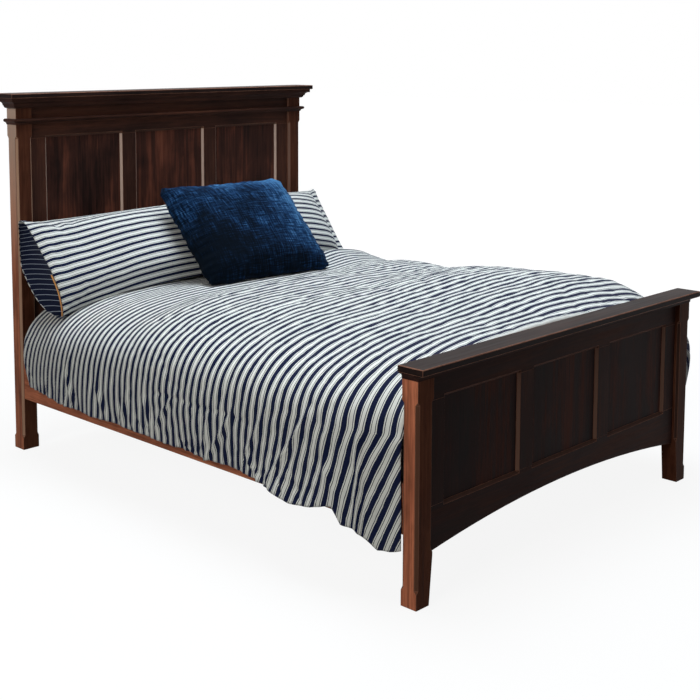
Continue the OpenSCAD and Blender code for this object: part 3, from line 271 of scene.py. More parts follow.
def dress(node_name, material, edge=0.0012, wear_and_highlight=None):
    """Gives a timber or steel piece its finish and eased edges, paler on stained wood by wear and a
    painted highlight.
    """
    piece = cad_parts[node_name]
    for material_slot in piece.material_slots:
        material_slot.material = material
    if edge:
        piece.modifiers.new("joined_corners", "WELD").merge_threshold = 0.00002
        eased_edges = piece.modifiers.new("eased_edges", "BEVEL")
        eased_edges.limit_method = "ANGLE"
        eased_edges.angle_limit = math.radians(28)
        eased_edges.width = edge
        eased_edges.segments = 2
        eased_edges.use_clamp_overlap = False
        # The eased edges take a paler wood: wear and painted highlight.
        if wear_and_highlight:
            piece.data.materials.append(wear_and_highlight)
            eased_edges.material = len(piece.material_slots) - 1


fine_edge = 0.0008
# The posts and side rails are lighter than the boards, to be scaled by their painted side light and
# shade.
post_shades = (0.110, 0.036, 0.020), (0.300, 0.098, 0.052), (0.480, 0.180, 0.095)
# Paler wood for the eased edges: wear and painted highlight.
worn_and_highlight_shades = (0.160, 0.070, 0.045), (0.250, 0.115, 0.075), (0.360, 0.175, 0.115)
# The caps are painted darker than the boards, as painted shade on their tops.
cap_shades = (0.010, 0.006, 0.006), (0.019, 0.011, 0.010), (0.036, 0.018, 0.015)
worn_and_highlight_wood = stained_wood("rubbed_edge_and_highlight", "Z", *worn_and_highlight_shades, offset=31.0)
cap_wood = stained_wood("espresso_cap", "X", *cap_shades, offset=17.0, gloss=0.42, shine=0.03)
rail_wood = stained_wood("espresso_side_rail", "Y", *post_shades, offset=9.0,
                         sides=(1.75, 0.8, 0.0))
# Each post's sides: a painted light level for its sideways faces, a painted shade level for the others
# and the share of painted sheen high up; the right posts are set darker as painted shade.
ends = {
    "headboard": {
        "boards": ((0.030, 0.013, 0.010), (0.058, 0.024, 0.017), (0.110, 0.042, 0.026)),
        "panels": ((0.016, 0.008, 0.007), (0.060, 0.023, 0.017), (0.215, 0.070, 0.042)),
        "posts": {
            "left": {"offset": 13.0, "wear_and_highlight": (0.52, 0.31, 0.21), "sides": (1.50, 0.32, 0.90)},
            "right": {"offset": 35.0, "wear_and_highlight": (0.20, 0.11, 0.08), "sides": (0.55, 0.30, 0.10)}},
        # The chamfers' colours here and in the posts above: wear and painted highlight.
        "upright_wear_and_highlight": (0.62, 0.45, 0.37), "rail_wear_and_highlight": (0.11, 0.055, 0.040),
        "first_panel": 20.0, "shine": 0.05, "rails": ("top_rail", "bottom_rail"),
        "mouldings": ("frieze", "crown_moulding", "bead_moulding")},
    # The footboard's boards and panels are painted darker than the headboard's same wood, as painted
    # shade.
    "footboard": {
        "boards": ((0.016, 0.008, 0.007), (0.030, 0.013, 0.011), (0.064, 0.026, 0.018)),
        "panels": ((0.008, 0.005, 0.005), (0.020, 0.009, 0.008), (0.080, 0.026, 0.017)),
        "posts": {
            "left": {"offset": 24.0, "wear_and_highlight": (0.15, 0.068, 0.042), "sides": (2.15, 0.47, 0.0)},
            "right": {"offset": 39.0, "wear_and_highlight": (0.07, 0.034, 0.025), "sides": (0.40, 0.22, 0.0)}},
        # The footboard's chamfer colours are dimmer, as painted shade.
        "upright_wear_and_highlight": (0.26, 0.14, 0.10), "rail_wear_and_highlight": (0.08, 0.038, 0.028),
        "first_panel": 43.0, "shine": 0.03, "rails": ("top_rail", "arched_rail"),
        "mouldings": ("cove_moulding",)}}
for end, looks in ends.items():
    shine = looks["shine"]
    boards = looks["boards"]
    upright_wood = stained_wood(f"espresso_{end}_uprights", "Z", *boards,
                                wear_and_highlight=looks["upright_wear_and_highlight"], shine=shine)
    cross_wood = stained_wood(f"espresso_{end}_rails", "X", *boards, offset=5.0,
                              wear_and_highlight=looks["rail_wear_and_highlight"], shine=shine)
    moulding_wood = stained_wood(f"espresso_{end}_mouldings", "X", *boards, offset=7.0, shine=shine)
    for side, post_looks in looks["posts"].items():
        post_wood = stained_wood(f"espresso_{end}_{side}_post", "Z", *post_shades, shine=shine,
                                 **post_looks)
        dress(f"{end}_post_{side}", post_wood, wear_and_highlight=worn_and_highlight_wood)
        dress(f"{end}_stile_{side}", upright_wood, fine_edge, worn_and_highlight_wood)
        dress(f"{end}_muntin_{side}", upright_wood, fine_edge, worn_and_highlight_wood)
    for k, place in enumerate(("left", "centre", "right")):
        panel_wood = stained_wood(f"espresso_{end}_{place}_panel", "Z", *looks["panels"],
                                  offset=looks["first_panel"] + 7 * k, shine=shine)
        dress(f"{end}_panel_{place}", panel_wood, 0)
    for name in looks["rails"]:
        dress(f"{end}_{name}", cross_wood, fine_edge, worn_and_highlight_wood)
    for name in looks["mouldings"]:
        dress(f"{end}_{name}", moulding_wood, 0)
    dress(f"{end}_cap", cap_wood, wear_and_highlight=worn_and_highlight_wood)
dress("side_rail_left", rail_wood, wear_and_highlight=worn_and_highlight_wood)
dress("side_rail_right", rail_wood, wear_and_highlight=worn_and_highlight_wood)


# Hidden timber: unstained pine for the ledgers, slats, centre beam and its legs.
# The slats are screwed down, and the legs stand on steel levellers.
sawn_edge = 0.0015
pine_shades = (0.42, 0.25, 0.11), (0.60, 0.40, 0.20), (0.74, 0.54, 0.31)
pine_across = stained_wood("pine_crosswise", "X", *pine_shades, offset=2.0, gloss=0.62)
pine_along = stained_wood("pine_lengthwise", "Y", *pine_shades, offset=4.0, gloss=0.62)
pine_upright = stained_wood("pine_upright", "Z", *pine_shades, offset=6.0, gloss=0.62)
for k in range(7):
    dress(f"slat_{k + 1}", pine_across, sawn_edge)
for k in range(3):
    dress(f"centre_leg_{k + 1}", pine_upright, sawn_edge)
for name in ("centre_beam", "ledger_left", "ledger_right"):
    dress(name, pine_along, sawn_edge)


# Hardware: zinc-plated steel plates, screws and the levellers' feet and studs.
# Hook plates on the rails drop into slot plates in the posts.
zinc = empty_material("zinc_plated_steel")
zinc_coords = new_node(zinc, "ShaderNodeTexCoord").outputs["Object"]
spangle = new_node(zinc, "ShaderNodeTexVoronoi", {"Vector": zinc_coords, "Scale": 160})
zinc_tone = ranged(zinc, spangle.outputs["Distance"], 0.0, 1.0, 0.50, 0.66)
coat_with(zinc, {"Base Color": zinc_tone, "Metallic": 1.0, "Roughness": 0.34})
for name in ("rail_hook_plates", "post_slot_plates", "plate_screws", "ledger_screws_set",
             "slat_screws", "leveller_1", "leveller_2", "leveller_3"):
    dress(name, zinc, 0)


# Foundation: a low sprung base on a timber frame, wrapped in white twill.
# Round pipings are sewn round its two edges, and its underside has a dark dust cover.
def woven(name, colour, thread=0.0011, uneven=0.10):
    """Plain cloth: a fine weave in relief and a slight unevenness of colour."""
    made = empty_material(name)
    coords = new_node(made, "ShaderNodeTexCoord").outputs["Object"]
    level = ranged(made, noise_at(made, coords, 3, scale=9.0), 0.0, 1.0, 1 - uneven, 1 + uneven)
    cells = new_node(made, "ShaderNodeTexVoronoi", {"Vector": coords, "Scale": 1 / thread})
    relief = new_node(made, "ShaderNodeBump",
                      {"Strength": 0.5, "Distance": 0.0004, "Height": cells.outputs["Distance"]})
    coat_with(made, {"Base Color": scaled(made, colour, level), "Roughness": 0.9,
                     "Normal": relief.outputs[0], "Specular IOR Level": 0.2})
    return made


def boxed(low, high, corner, edge, corner_steps, edge_steps):
    """A box with round upright corners and rounded upper and lower edges."""
    bm = bmesh.new()
    bmesh.ops.create_cube(bm, size=1)
    bmesh.ops.scale(bm, vec=high - low, verts=bm.verts)
    bmesh.ops.translate(bm, vec=(high + low) / 2, verts=bm.verts)
    upright = [e for e in bm.edges if abs(e.verts[0].co.z - e.verts[1].co.z) > 0.01]
    bmesh.ops.bevel(bm, geom=upright, offset=corner, segments=corner_steps, affect="EDGES",
                    profile=0.5, material=-1)
    rims = [e for e in bm.edges if abs(e.verts[0].co.z - e.verts[1].co.z) < 1e-5
            and abs(abs(e.link_faces[0].normal.z) - abs(e.link_faces[1].normal.z)) > 0.5]
    bmesh.ops.bevel(bm, geom=rims, offset=edge, segments=edge_steps, affect="EDGES",
                    profile=0.5, material=-1)
    return bm


def sewn_cord(name, points, radius, material, closed, round_steps):
    """A round cord through these points, closed to a ring or with flat ends."""
    curve = bpy.data.curves.new(name, "CURVE")
    curve.dimensions = "3D"
    curve.bevel_depth = radius
    curve.bevel_resolution = round_steps
    curve.use_fill_caps = not closed
    line = curve.splines.new("POLY")
    line.points.add(len(points) - 1)
    for spot, point in zip(line.points, points):
        spot.co = (*point, 1)
    line.use_cyclic_u = closed
    curve.materials.append(material)
    made = bpy.data.objects.new(name, curve)
    scene.collection.objects.link(made)
    return made


def box_outline(low, high, corner, z, quarter_steps=8):
    """Points round a box at one height, with its round corners."""
    points = []
    for sx, sy, start in ((1, 1, 0), (-1, 1, 90), (-1, -1, 180), (1, -1, 270)):
        middle = Vector(((low.x + high.x) / 2 + sx * ((high.x - low.x) / 2 - corner),
                         (low.y + high.y) / 2 + sy * ((high.y - low.y) / 2 - corner), z))
        for step in range(quarter_steps + 1):
            turn = math.radians(start + step * 90 / quarter_steps)
            points.append(middle + corner * Vector((math.cos(turn), math.sin(turn), 0)))
    return points


base_corner, base_edge = 0.040, 0.012
piping_corner, piping_radius, piping_off_edge = 0.038, 0.003, 0.014
white_twill = woven("white_twill", (0.80, 0.79, 0.76))
dust_cloth = woven("dust_cover_cloth", (0.035, 0.035, 0.04))
base_low, base_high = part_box("foundation")
bm = boxed(base_low, base_high, base_corner, base_edge, corner_steps=8, edge_steps=3)
for face in bm.faces:
    face.smooth = True
    face.material_index = 1 if face.normal.z < -0.9 else 0
foundation_cover = finish_mesh(bm, "foundation_cover", white_twill, dust_cloth)
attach(foundation_cover, "foundation")
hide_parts("foundation")
inset = Vector((0.0035, 0.0035, 0))
for tag, z in (("upper", base_high.z - piping_off_edge), ("lower", base_low.z + piping_off_edge)):
    outline = box_outline(base_low + inset, base_high - inset, piping_corner, z)
    cord_piece = sewn_cord(f"foundation_{tag}_piping", outline, piping_radius, white_twill,
                           closed=True, round_steps=3)
    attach(cord_piece, "foundation")


# Mattress: a sprung mattress in pale damask, quilted into soft squares on both faces.
# A tape edge is sewn round the top and the bottom where the panels meet the border.
pad_corner, pad_edge = 0.094, 0.070
tuft_spacing, tuft_depth = 0.152, 0.006
tape_radius, tape_off_edge = 0.0045, 0.060
damask = woven("pale_damask", (0.78, 0.77, 0.74), thread=0.0016, uneven=0.05)
tape_cloth = woven("grey_tape", (0.36, 0.38, 0.42))
pad_low, pad_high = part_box("mattress")
bm = boxed(pad_low, pad_high, pad_corner, pad_edge, corner_steps=10, edge_steps=8)
for axis, start, stop, count in ((0, pad_low.x, pad_high.x, 40), (1, pad_low.y, pad_high.y, 54)):
    for step in range(1, count):
        where = [0, 0, 0]
        normal = [0, 0, 0]
        where[axis] = start + (stop - start) * step / count
        normal[axis] = 1
        bmesh.ops.bisect_plane(bm, geom=bm.verts[:] + bm.edges[:] + bm.faces[:],
                               plane_co=where, plane_no=normal)
pad_middle = (pad_low + pad_high) / 2
for vert in bm.verts:
    over = abs(vert.co.z - pad_middle.z) / ((pad_high.z - pad_low.z) / 2)
    if over > 0.98:
        tuft = abs(math.sin(math.pi * vert.co.x / tuft_spacing)
                   * math.sin(math.pi * vert.co.y / tuft_spacing))
        vert.co.z -= math.copysign(tuft_depth * (1 - tuft ** 0.5), vert.co.z - pad_middle.z)
for face in bm.faces:
    face.smooth = True
mattress_cover = finish_mesh(bm, "mattress_cover", damask)
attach(mattress_cover, "mattress")
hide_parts("mattress")
for tag, z in (("upper", pad_high.z - tape_off_edge), ("lower", pad_low.z + tape_off_edge)):
    outline = box_outline(pad_low, pad_high, pad_corner, z)
    tape = sewn_cord(f"mattress_{tag}_tape", outline, tape_radius, tape_cloth,
                     closed=True, round_steps=3)
    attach(tape, "mattress")


# Duvet: a thick filled quilt in a ticking-striped cotton cover, laid over the whole mattress.
# Both sides hang outside the rails, the foot is tucked behind the footboard, and the filling
# is bunched up on the far side near the foot. All lengths here are millimetres.
mm = 0.001
duvet_foot = -1027.5
duvet_head = 991.5
duvet_length = duvet_head - duvet_foot
flap_top = 450.0                # below it the sides hang free
rail_clear = 815.0              # how far from the middle they stay
thinnest_flap = 8
bed_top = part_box("mattress")[1].z * 1000
near_hem = np.array([(-1039, 174), (-990, 157), (-947, 151), (-914, 179), (-876, 210), (-838, 216),
                     (-822, 238), (-803, 267), (-718, 251), (-637, 240), (-568, 254), (-503, 266),
                     (-421, 269), (-164, 267), (117, 273), (422, 278), (733, 277), (973, 291)], float)


def eased(share):
    share = np.clip(share, 0, 1)
    return share * share * (3 - 2 * share)


def crown_height(x, y):
    """Height of the cover's top: bunched up at the foot, pressed down under the pillows."""
    filling, bunch, press, corner_swell, foot_swell, puff = 138, 46, 52, 22, 10, 3
    t = (y - duvet_foot) / duvet_length
    bunched = bunch * (1 - eased((t - 0.30) / 0.22)) * eased(t / 0.16 + 0.15) * eased(x / 900 + 0.5)
    pressed = press * (0.7 * eased((t - 0.60) / 0.10) + 0.3 * eased((t - 0.76) / 0.08))
    far_edge = np.interp(t, [0.60, 0.64, 0.70, 0.745, 0.774, 0.795, 0.81, 0.87],
                         [4, 10, 24, 35, 42, 57, 57, 0]) * eased((x - 300) / 300)
    far_corner = corner_swell * eased((x - 560) / 220) * (1 - eased((t - 0.09) / 0.09))
    turn = 2 * math.pi
    puffs = puff * np.sin(turn * (y + x / 7.3) / 410) * np.cos(turn * x / 1558)
    raised = bunched + far_edge + far_corner + foot_swell * (1 - eased(t / 0.12))
    return bed_top + filling + raised - pressed + puffs


def side_fold(y, drop, side):
    """How far a hanging side is drawn in between its wide upright folds."""
    fold_depth, fold_pitch = 7, 330
    t = (y - duvet_foot) / duvet_length
    wave = np.sin(np.radians(360 * y / fold_pitch + side * 70 + 35 * drop))
    return -fold_depth * (0.25 + 0.75 * drop) * eased((t - 0.15) / 0.15) * (1 - wave) / 2


def duvet_section(y, columns):
    """Points across the cover's outer face from the near hem to the far hem, evenly spaced.

    Each side reaches out farthest at its widest height, hangs drawn in below it and turns over
    the shoulder above it, the squarer the smaller the power.
    """
    t = (y - duvet_foot) / duvet_length
    halves = []
    for side in (-1, 1):
        if side < 0:
            reach = 882 - 27 * eased((t - 0.8) / 0.2) - 57 * (1 - eased(t / 0.13))
            flare = eased((t - 0.03) / 0.08) * (1 - eased((t - 0.22) / 0.14))
            drawn = 8 + 6 * eased((t - 0.8) / 0.2) - 40 * flare
            power = 2 / (3.4 - 0.5 * eased((t - 0.8) / 0.2))
            widest_z = 410.0
            hem = np.interp(y, near_hem[:, 0], near_hem[:, 1])
        else:
            reach = 910 + 48 * (1 - eased((t - 0.15) / 0.35)) - 55 * eased((t - 0.8) / 0.2)
            reach += 24 * (1 - eased((t - 0.05) / 0.12))
            drawn = 56 * (1 - 0.75 * eased((t - 0.75) / 0.25)) + 40 * (1 - eased(t / 0.3))
            power = 2 / (4.4 - 2.3 * (1 - eased(t / 0.19)))
            widest_z = 450.0
            hem = (256 + 29 * eased((t - 0.85) / 0.15) - 66 * (1 - eased(t / 0.20))
                   + 5 * math.sin(math.radians(360 * y / 290 + 40)))
        drop = np.linspace(1, 0, 40)
        hang_x = reach - drawn * drop ** 1.5 + side_fold(y, drop, side)
        hang_z = widest_z - (widest_z - hem) * drop
        turn = math.pi / 2 * eased(np.linspace(0, 1, 200))[1:]
        top_x = (reach + side_fold(y, 0, side) * np.cos(turn)) * np.cos(turn) ** power
        top_z = widest_z + (crown_height(side * top_x, y) - widest_z) * np.sin(turn) ** power
        halves.append(np.stack([side * np.concatenate([hang_x, top_x]),
                                np.concatenate([hang_z, top_z])], 1))
    line = np.vstack([halves[0], halves[1][::-1][1:]])
    arc = np.concatenate([[0], np.cumsum(np.hypot(*np.diff(line, axis=0).T))])
    even = np.linspace(0, arc[-1], columns)
    return np.stack([np.interp(even, arc, line[:, 0]), np.full(columns, y),
                     np.interp(even, arc, line[:, 1])], 1), even


def duvet_underside(outer, even):
    """The inner face's points over the mattress, and the filling's thickness in the flaps."""
    under = outer.copy()
    thickness = np.zeros(len(outer))
    middle = int(np.argmin(np.abs(outer[:, 0])))
    for side, part in ((-1, slice(0, middle + 1)), (1, slice(len(outer) - 1, middle - 1, -1))):
        points = outer[part]
        arc = np.abs(even[part] - even[part][0])
        hanging = points[:, 2] < flap_top
        hanging[len(points) // 3:] = False
        thickness[part] = np.where(hanging, 9 + 40 * eased(arc / 110), 0)
        count = int(hanging.sum())
        top_arc = (arc - arc[count]) / (arc[-1] - arc[count])
        x_start = max(abs(points[count, 0]) - 49, rail_clear)
        knots = np.array([(x_start, flap_top + 6), (812, 500), (790, 545), (724, bed_top + 0.5),
                          (0, bed_top + 0.5)])
        knot_arc = np.concatenate([[0], np.cumsum(np.hypot(*np.diff(knots, axis=0).T))])
        knot_arc /= knot_arc[-1]
        under[part, 0] = side * np.interp(top_arc, knot_arc, knots[:, 0])
        under[part, 2] = np.where(hanging, points[:, 2], np.interp(top_arc, knot_arc, knots[:, 1]))
    return under, thickness


duvet_rows = 330
duvet_columns = 340
outer = np.zeros((duvet_rows, duvet_columns, 3))
under = np.zeros_like(outer)
flap_thick = np.zeros((duvet_rows, duvet_columns))
girth = np.zeros((duvet_rows, duvet_columns))
for row, y in enumerate(np.linspace(duvet_foot, duvet_head, duvet_rows)):
    outer[row], even = duvet_section(y, duvet_columns)
    under[row], flap_thick[row] = duvet_underside(outer[row], even)
    girth[row] = even - even[-1] / 2


def surface_normals(grid):
    across = np.gradient(grid, axis=1)
    along = np.gradient(grid, axis=0)
    normals = np.cross(across, along)
    return normals / np.maximum(np.linalg.norm(normals, axis=2, keepdims=True), 1e-9)


def field(grid, size, seed):
    """Smooth noise between about -1 and 1 that changes over the given size along each axis."""
    scaled_grid = grid / np.array(size)
    flat = [noise.noise(Vector(point) + Vector((seed, seed * 0.37, seed * 1.9)))
            for point in scaled_grid.reshape(-1, 3)]
    return np.array(flat).reshape(grid.shape[:2])


def ridge(values):
    """Narrow crests where the values pass through zero."""
    return np.clip(1 - np.abs(values) * 3.2, 0, 1) ** 2


cover_x, cover_y, cover_z = (outer[:, :, axis] for axis in range(3))
share = (cover_y - duvet_foot) / duvet_length
on_side = eased((640 - cover_z) / 150)
low_side = eased((430 - cover_z) / 170)
on_near_side = cover_x < 0
calm = 1 - 0.75 * eased((share - 0.60) / 0.12)
taut = 1 - 0.65 * (1 - eased((share - 0.05) / 0.10))

# The filling's swellings and the creases between them.
wide_swell, small_swell, long_crease, short_crease = 4.0, 2.4, 3.4, 1.8
swell_up = wide_swell * field(outer, (260, 210, 260), 3.0)
swell_up += small_swell * field(outer, (120, 90, 120), 8.0)
creases = long_crease * ridge(field(outer, (210, 95, 170), 14.0))
creases += short_crease * ridge(field(outer, (120, 60, 110), 21.0))

# The upright folds and gathers of the hanging sides.
drape_depth, drape_pitch, ripple_depth, ripple_pitch, upright_depth = 7.0, 34.0, 7.0, 15.5, 5.85
drape_phase = cover_y / drape_pitch + 2.4 * field(outer, (400, 300, 400), 5.0)
drape_share = 0.55 + 0.45 * field(outer, (300, 380, 300), 31.0)
drape = drape_depth * low_side * np.sin(drape_phase) * drape_share
ripple_phase = cover_y / ripple_pitch + 3.4 * field(outer, (260, 150, 330), 52.0)
ripple_share = 0.6 + 0.7 * field(outer, (260, 240, 260), 57.0)
drape -= ripple_depth * low_side ** 1.6 * np.abs(np.sin(ripple_phase)) * ripple_share
leaning = outer.copy()
leaning[:, :, 1] += 0.5 * cover_z * np.sign(field(outer, (900, 500, 900), 81.0))
upright = ridge(field(leaning, (260, 58, 330), 71.0)) * on_side * (0.20 + 0.80 * low_side)
drape -= upright_depth * upright

# Slanted creases where the near foot corner is pulled behind the post.
pull_depth, pull_pitch = 1.8, 13.0
slanted = cover_y * 0.72 + cover_z * 0.69
foot_pull = np.where(on_near_side, 1, 0.4) * on_side * (1 - eased((share - 0.16) / 0.18))
pull_phase = slanted / pull_pitch + 2.2 * field(outer, (260, 260, 260), 44.0)
pull_creases = pull_depth * foot_pull * np.sin(pull_phase)

# A short row of stitches that tacks the near side down.
tack_depth, tack_height, tack_width = 6.0, 452, 9
tack_line = np.exp(-((cover_z - tack_height) / tack_width) ** 2) * on_near_side
tack_line = tack_line * eased((cover_y + 420) / 60) * (1 - eased((cover_y - 60) / 60))
tacks = tack_depth * tack_line * (0.6 + 0.4 * np.sin(cover_y / 7.0))

# Folds pulled across the near side, each a line of points along the bed and up.
pulled_folds = [
    [(-356, 501), (-287, 394), (-186, 265)],
    [(-510, 525), (-461, 437), (-404, 344), (-421, 316), (-473, 279)],
    [(-688, 559), (-671, 510), (-615, 422), (-546, 323), (-502, 250)],
    [(-56, 485), (33, 396), (89, 322)],
    [(-890, 575), (-886, 452), (-890, 375), (-882, 230)], [(-833, 310), (-837, 251), (-886, 185)],
    [(-36, 319), (-77, 288), (-125, 267)], [(-243, 508), (-206, 397), (-186, 321)],
    [(-595, 499), (-574, 428), (-586, 379)], [(-769, 520), (-760, 420), (-793, 316)],
    [(130, 520), (150, 430), (120, 330)], [(250, 470), (262, 380), (300, 300)],
    [(420, 500), (436, 400), (400, 310)], [(600, 520), (640, 420), (620, 330)]]
crest, foot_hollow, head_hollow, crest_slip = 6, 4, 2, 3.5
fold_lift = np.zeros(outer.shape[:2])
fold_slip = np.zeros(outer.shape[:2])
for fold_line in pulled_folds:
    fold_y, fold_z = np.array(fold_line, float).T
    low, high = fold_z.min(), fold_z.max()
    climbing = np.argsort(fold_z)
    level_z = np.clip(cover_z, low, high)
    off = cover_y - np.interp(level_z, fold_z[climbing], fold_y[climbing])
    past = np.maximum(cover_z - high, low - cover_z)
    strength = (1 - eased(past / 45)) * eased((high + 30 - cover_z) / 110)
    strength = strength * (cover_x < -500)
    fold_lift += strength * (crest * np.exp(-(off / 11) ** 2)
                             - foot_hollow * np.exp(-((off + 24) / 17) ** 2)
                             - head_hollow * np.exp(-((off - 27) / 18) ** 2))
    fold_slip += strength * crest_slip * np.tanh(off / 20) * np.exp(-np.abs(off) / 60)

# The relief goes onto the outer face, and the flaps keep clear of the rails and the near post.
lift = (fold_lift + (swell_up * (1 - 0.5 * on_side) - creases) * calm + drape * taut
        + pull_creases - tacks)
outer += surface_normals(outer) * lift[:, :, None]
side_sign = np.sign(cover_x)
in_flap = flap_thick > 0
clear_x = side_sign * np.maximum(np.abs(cover_x), rail_clear + thinnest_flap)
cover_x[:] = np.where(in_flap, clear_x, cover_x)
at_post, spread = 819, 0.30
near_end = at_post + spread * (cover_y - duvet_foot)
cover_x[:] = np.where(in_flap & (side_sign < 0), np.maximum(cover_x, -near_end), cover_x)
flap_inner = side_sign * np.maximum(np.abs(cover_x) - flap_thick, rail_clear)
under[:, :, 0] = np.where(in_flap, flap_inner, under[:, :, 0])
under[:, :, 2] = np.where(in_flap, cover_z, under[:, :, 2])

# Both ends are rounded off, and the near foot corner reaches up to the post.
end_rounding, end_share, post_clear, corner_run = 14, 0.60, 1.2, 70
end_gap = np.minimum(cover_y - duvet_foot, duvet_head - cover_y)
from_end = np.clip(end_gap / end_rounding, 0, 1)
end_round = end_share + (1 - end_share) * np.sqrt(np.clip(1 - (1 - from_end) ** 2, 0, 1))
stripe_start = cover_y
outer = under + (outer - under) * end_round[:, :, None]
outer[:, :, 1] = np.clip(outer[:, :, 1], duvet_foot, duvet_head)
outer[0, :, 1] = duvet_foot
outer[-1, :, 1] = duvet_head
post_gap = duvet_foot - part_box("footboard_post_left")[1].y * 1000 - post_clear
off_foot = (outer[:, :, 1] - duvet_foot) / corner_run
to_post = post_gap * low_side * (side_sign < 0) * (1 - eased(off_foot))
outer[:, :, 1] -= to_post
under[:, :, 1] -= to_post

# Stripes: they lean on the sides, follow the folds, and are gathered or spread along the bed.
stripe_pitch = 36.0
lean_starts, waviness = 520, 4
slant = np.interp(stripe_start, [-1030, -905, -870, -700, -560, -420, -250, 50, 400, 700, 900],
                  [0.52, 0.46, 0.24, 0.22, 0.20, 0.12, 0.06, 0.05, 0.12, 0.25, 0.30])
stripe_line = stripe_start - slant * np.clip(lean_starts - outer[:, :, 2], 0, None)
stripe_line += waviness * field(outer, (420, 420, 420), 61.0) + fold_slip
gather_knots = np.linspace(-1500, 1100, 53)
gathered = np.interp(gather_knots, [-980, -900, -300, 0, 300, 500, 1000],
                     [46, 39, 37, 34.5, 33, 31, 30])
gather_step = stripe_pitch / gathered[1:] * np.diff(gather_knots)
stripe_place = np.interp(stripe_line, gather_knots, np.concatenate([[0], np.cumsum(gather_step)]))


def two_faced(bm, outer_grid, inner_grid, across, along, inner_along=None):
    """Two nets of cloth sewn together round their edge, with their lengths kept for the weave."""
    lengths = {}
    loops = []
    rows, columns = outer_grid.shape[:2]
    order = np.zeros((rows, columns), int)
    for grid, flip in ((outer_grid, False), (inner_grid, True)):
        before = len(bm.faces)
        made = bmesh.ops.create_grid(bm, x_segments=columns - 1, y_segments=rows - 1, size=1)["verts"]
        bm.verts.index_update()
        this_along = inner_along if flip and inner_along is not None else along
        for vert in made:
            row = round((vert.co.y + 1) / 2 * (rows - 1))
            column = round((vert.co.x + 1) / 2 * (columns - 1))
            vert.co = Vector(grid[row, column]) * mm
            lengths[vert] = (across[row, column] * mm, this_along[row, column] * mm)
            if not flip:
                order[row, column] = vert.index
        bm.faces.ensure_lookup_table()
        if flip:
            bmesh.ops.reverse_faces(bm, faces=bm.faces[before:])
        loops.append([e for v in made for e in v.link_edges if e.is_boundary])
    rim = bmesh.ops.bridge_loops(bm, edges=list({*loops[0], *loops[1]}))["faces"]
    uv = bm.loops.layers.uv.new("cloth")
    for face in bm.faces:
        face.smooth = True
        for loop in face.loops:
            loop[uv].uv = lengths[loop.vert]
    return rim, order


def stripes_down_end(bm, rim, upper_points, rate):
    """Carries the stripes on down one end of the cover, at this rate to the fall."""
    uv = bm.loops.layers.uv["cloth"]
    for face in rim:
        if sum(vert.index in upper_points for vert in face.verts) != 2:
            continue
        for loop in face.loops:
            if loop.vert.index in upper_points:
                continue
            follows = loop.link_loop_next.vert.index in upper_points
            upper = loop.link_loop_next if follows else loop.link_loop_prev
            fall = (upper.vert.co - loop.vert.co).length
            loop[uv].uv = (upper[uv].uv.x, upper[uv].uv.y + rate * fall)


def striped_cotton(name, ground, stripe, pitch, main_share, pins):
    """Woven stripes along one direction of the cloth: a main stripe and thin lines beside it."""
    made = empty_material(name)
    uv = new_node(made, "ShaderNodeUVMap", uv_map="cloth").outputs[0]
    parts = new_node(made, "ShaderNodeSeparateXYZ", {0: uv})
    wobble = noise_at(made, uv, 1, scale=700.0)
    place = weighted(made, (wobble, 0.012), (parts.outputs[1], 1 / pitch))
    off_middle = calc(made, "PINGPONG", place, 0.5)
    marks = [(0.0, stripe), (main_share, stripe), (main_share + 0.02, ground)]
    for start, width in pins:
        marks += [(start, ground), (start + 0.012, stripe), (start + width, stripe),
                  (start + width + 0.012, ground)]
    bands = colour_ramp(made, calc(made, "MULTIPLY", off_middle, 2.0), marks + [(1.0, ground)])
    threads = noise_at(made, stretched(made, uv, (260, 2400, 1)), 2)
    picks = noise_at(made, stretched(made, uv, (2400, 260, 1)), 2)
    weave = calc(made, "ADD", threads, picks)
    toned = scaled(made, bands, ranged(made, weave, 0.7, 1.3, 0.92, 1.05))
    rumple = noise_at(made, uv, 4, scale=30.0, rough=0.6)
    relief = new_node(made, "ShaderNodeBump", {"Strength": 0.55, "Distance": 0.005,
                                               "Height": weighted(made, (rumple, 1.0), (weave, 0.08))})
    coat_with(made, {"Base Color": toned, "Roughness": 0.88, "Normal": relief.outputs[0],
                     "Specular IOR Level": 0.15, "Sheen Weight": 0.08, "Sheen Roughness": 0.5})
    return made


cream = (0.92, 0.93, 0.885)
navy = (0.003, 0.007, 0.038)
ticking = striped_cotton("ticking_stripe", cream, navy, stripe_pitch * mm, 0.42, [(0.60, 0.11)])
bm = bmesh.new()
rim, order = two_faced(bm, outer, under, girth, stripe_place)
foot_rate, head_rate = -0.78, 1.2
stripes_down_end(bm, rim, set(order[0].tolist()), foot_rate)
stripes_down_end(bm, rim, set(order[-1].tolist()), head_rate)
duvet_cover = finish_mesh(bm, "duvet_cover", ticking)
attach(duvet_cover, "duvet")
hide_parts("duvet")
duvet_tree = BVHTree.FromObject(duvet_cover, bpy.context.evaluated_depsgraph_get())


def settle(points, gap, lowest_top=560):
    """Keeps the points of a soft piece, in millimetres, a little above the duvet's top."""
    for point in points.reshape(-1, 3):
        hit = duvet_tree.ray_cast(Vector((point[0], point[1], 2000)) * mm, Vector((0, 0, -1)))[0]
        if hit is not None and hit.z * 1000 > lowest_top:
            point[2] = max(point[2], hit.z * 1000 + gap)
    return points


def lay_on_duvet(piece, gap, farthest_back=math.inf):
    """Settles a whole soft piece, and keeps it in front of the headboard."""
    spots = np.zeros(len(piece.data.vertices) * 3)
    piece.data.vertices.foreach_get("co", spots)
    spots = settle(spots.reshape(-1, 3) * 1000, gap) / 1000
    spots[:, 1] = np.minimum(spots[:, 1], farthest_back * mm)
    piece.data.vertices.foreach_set("co", spots.ravel())
    smoother = piece.modifiers.new("soft_cloth", "SUBSURF")
    smoother.levels = smoother.render_levels = 1


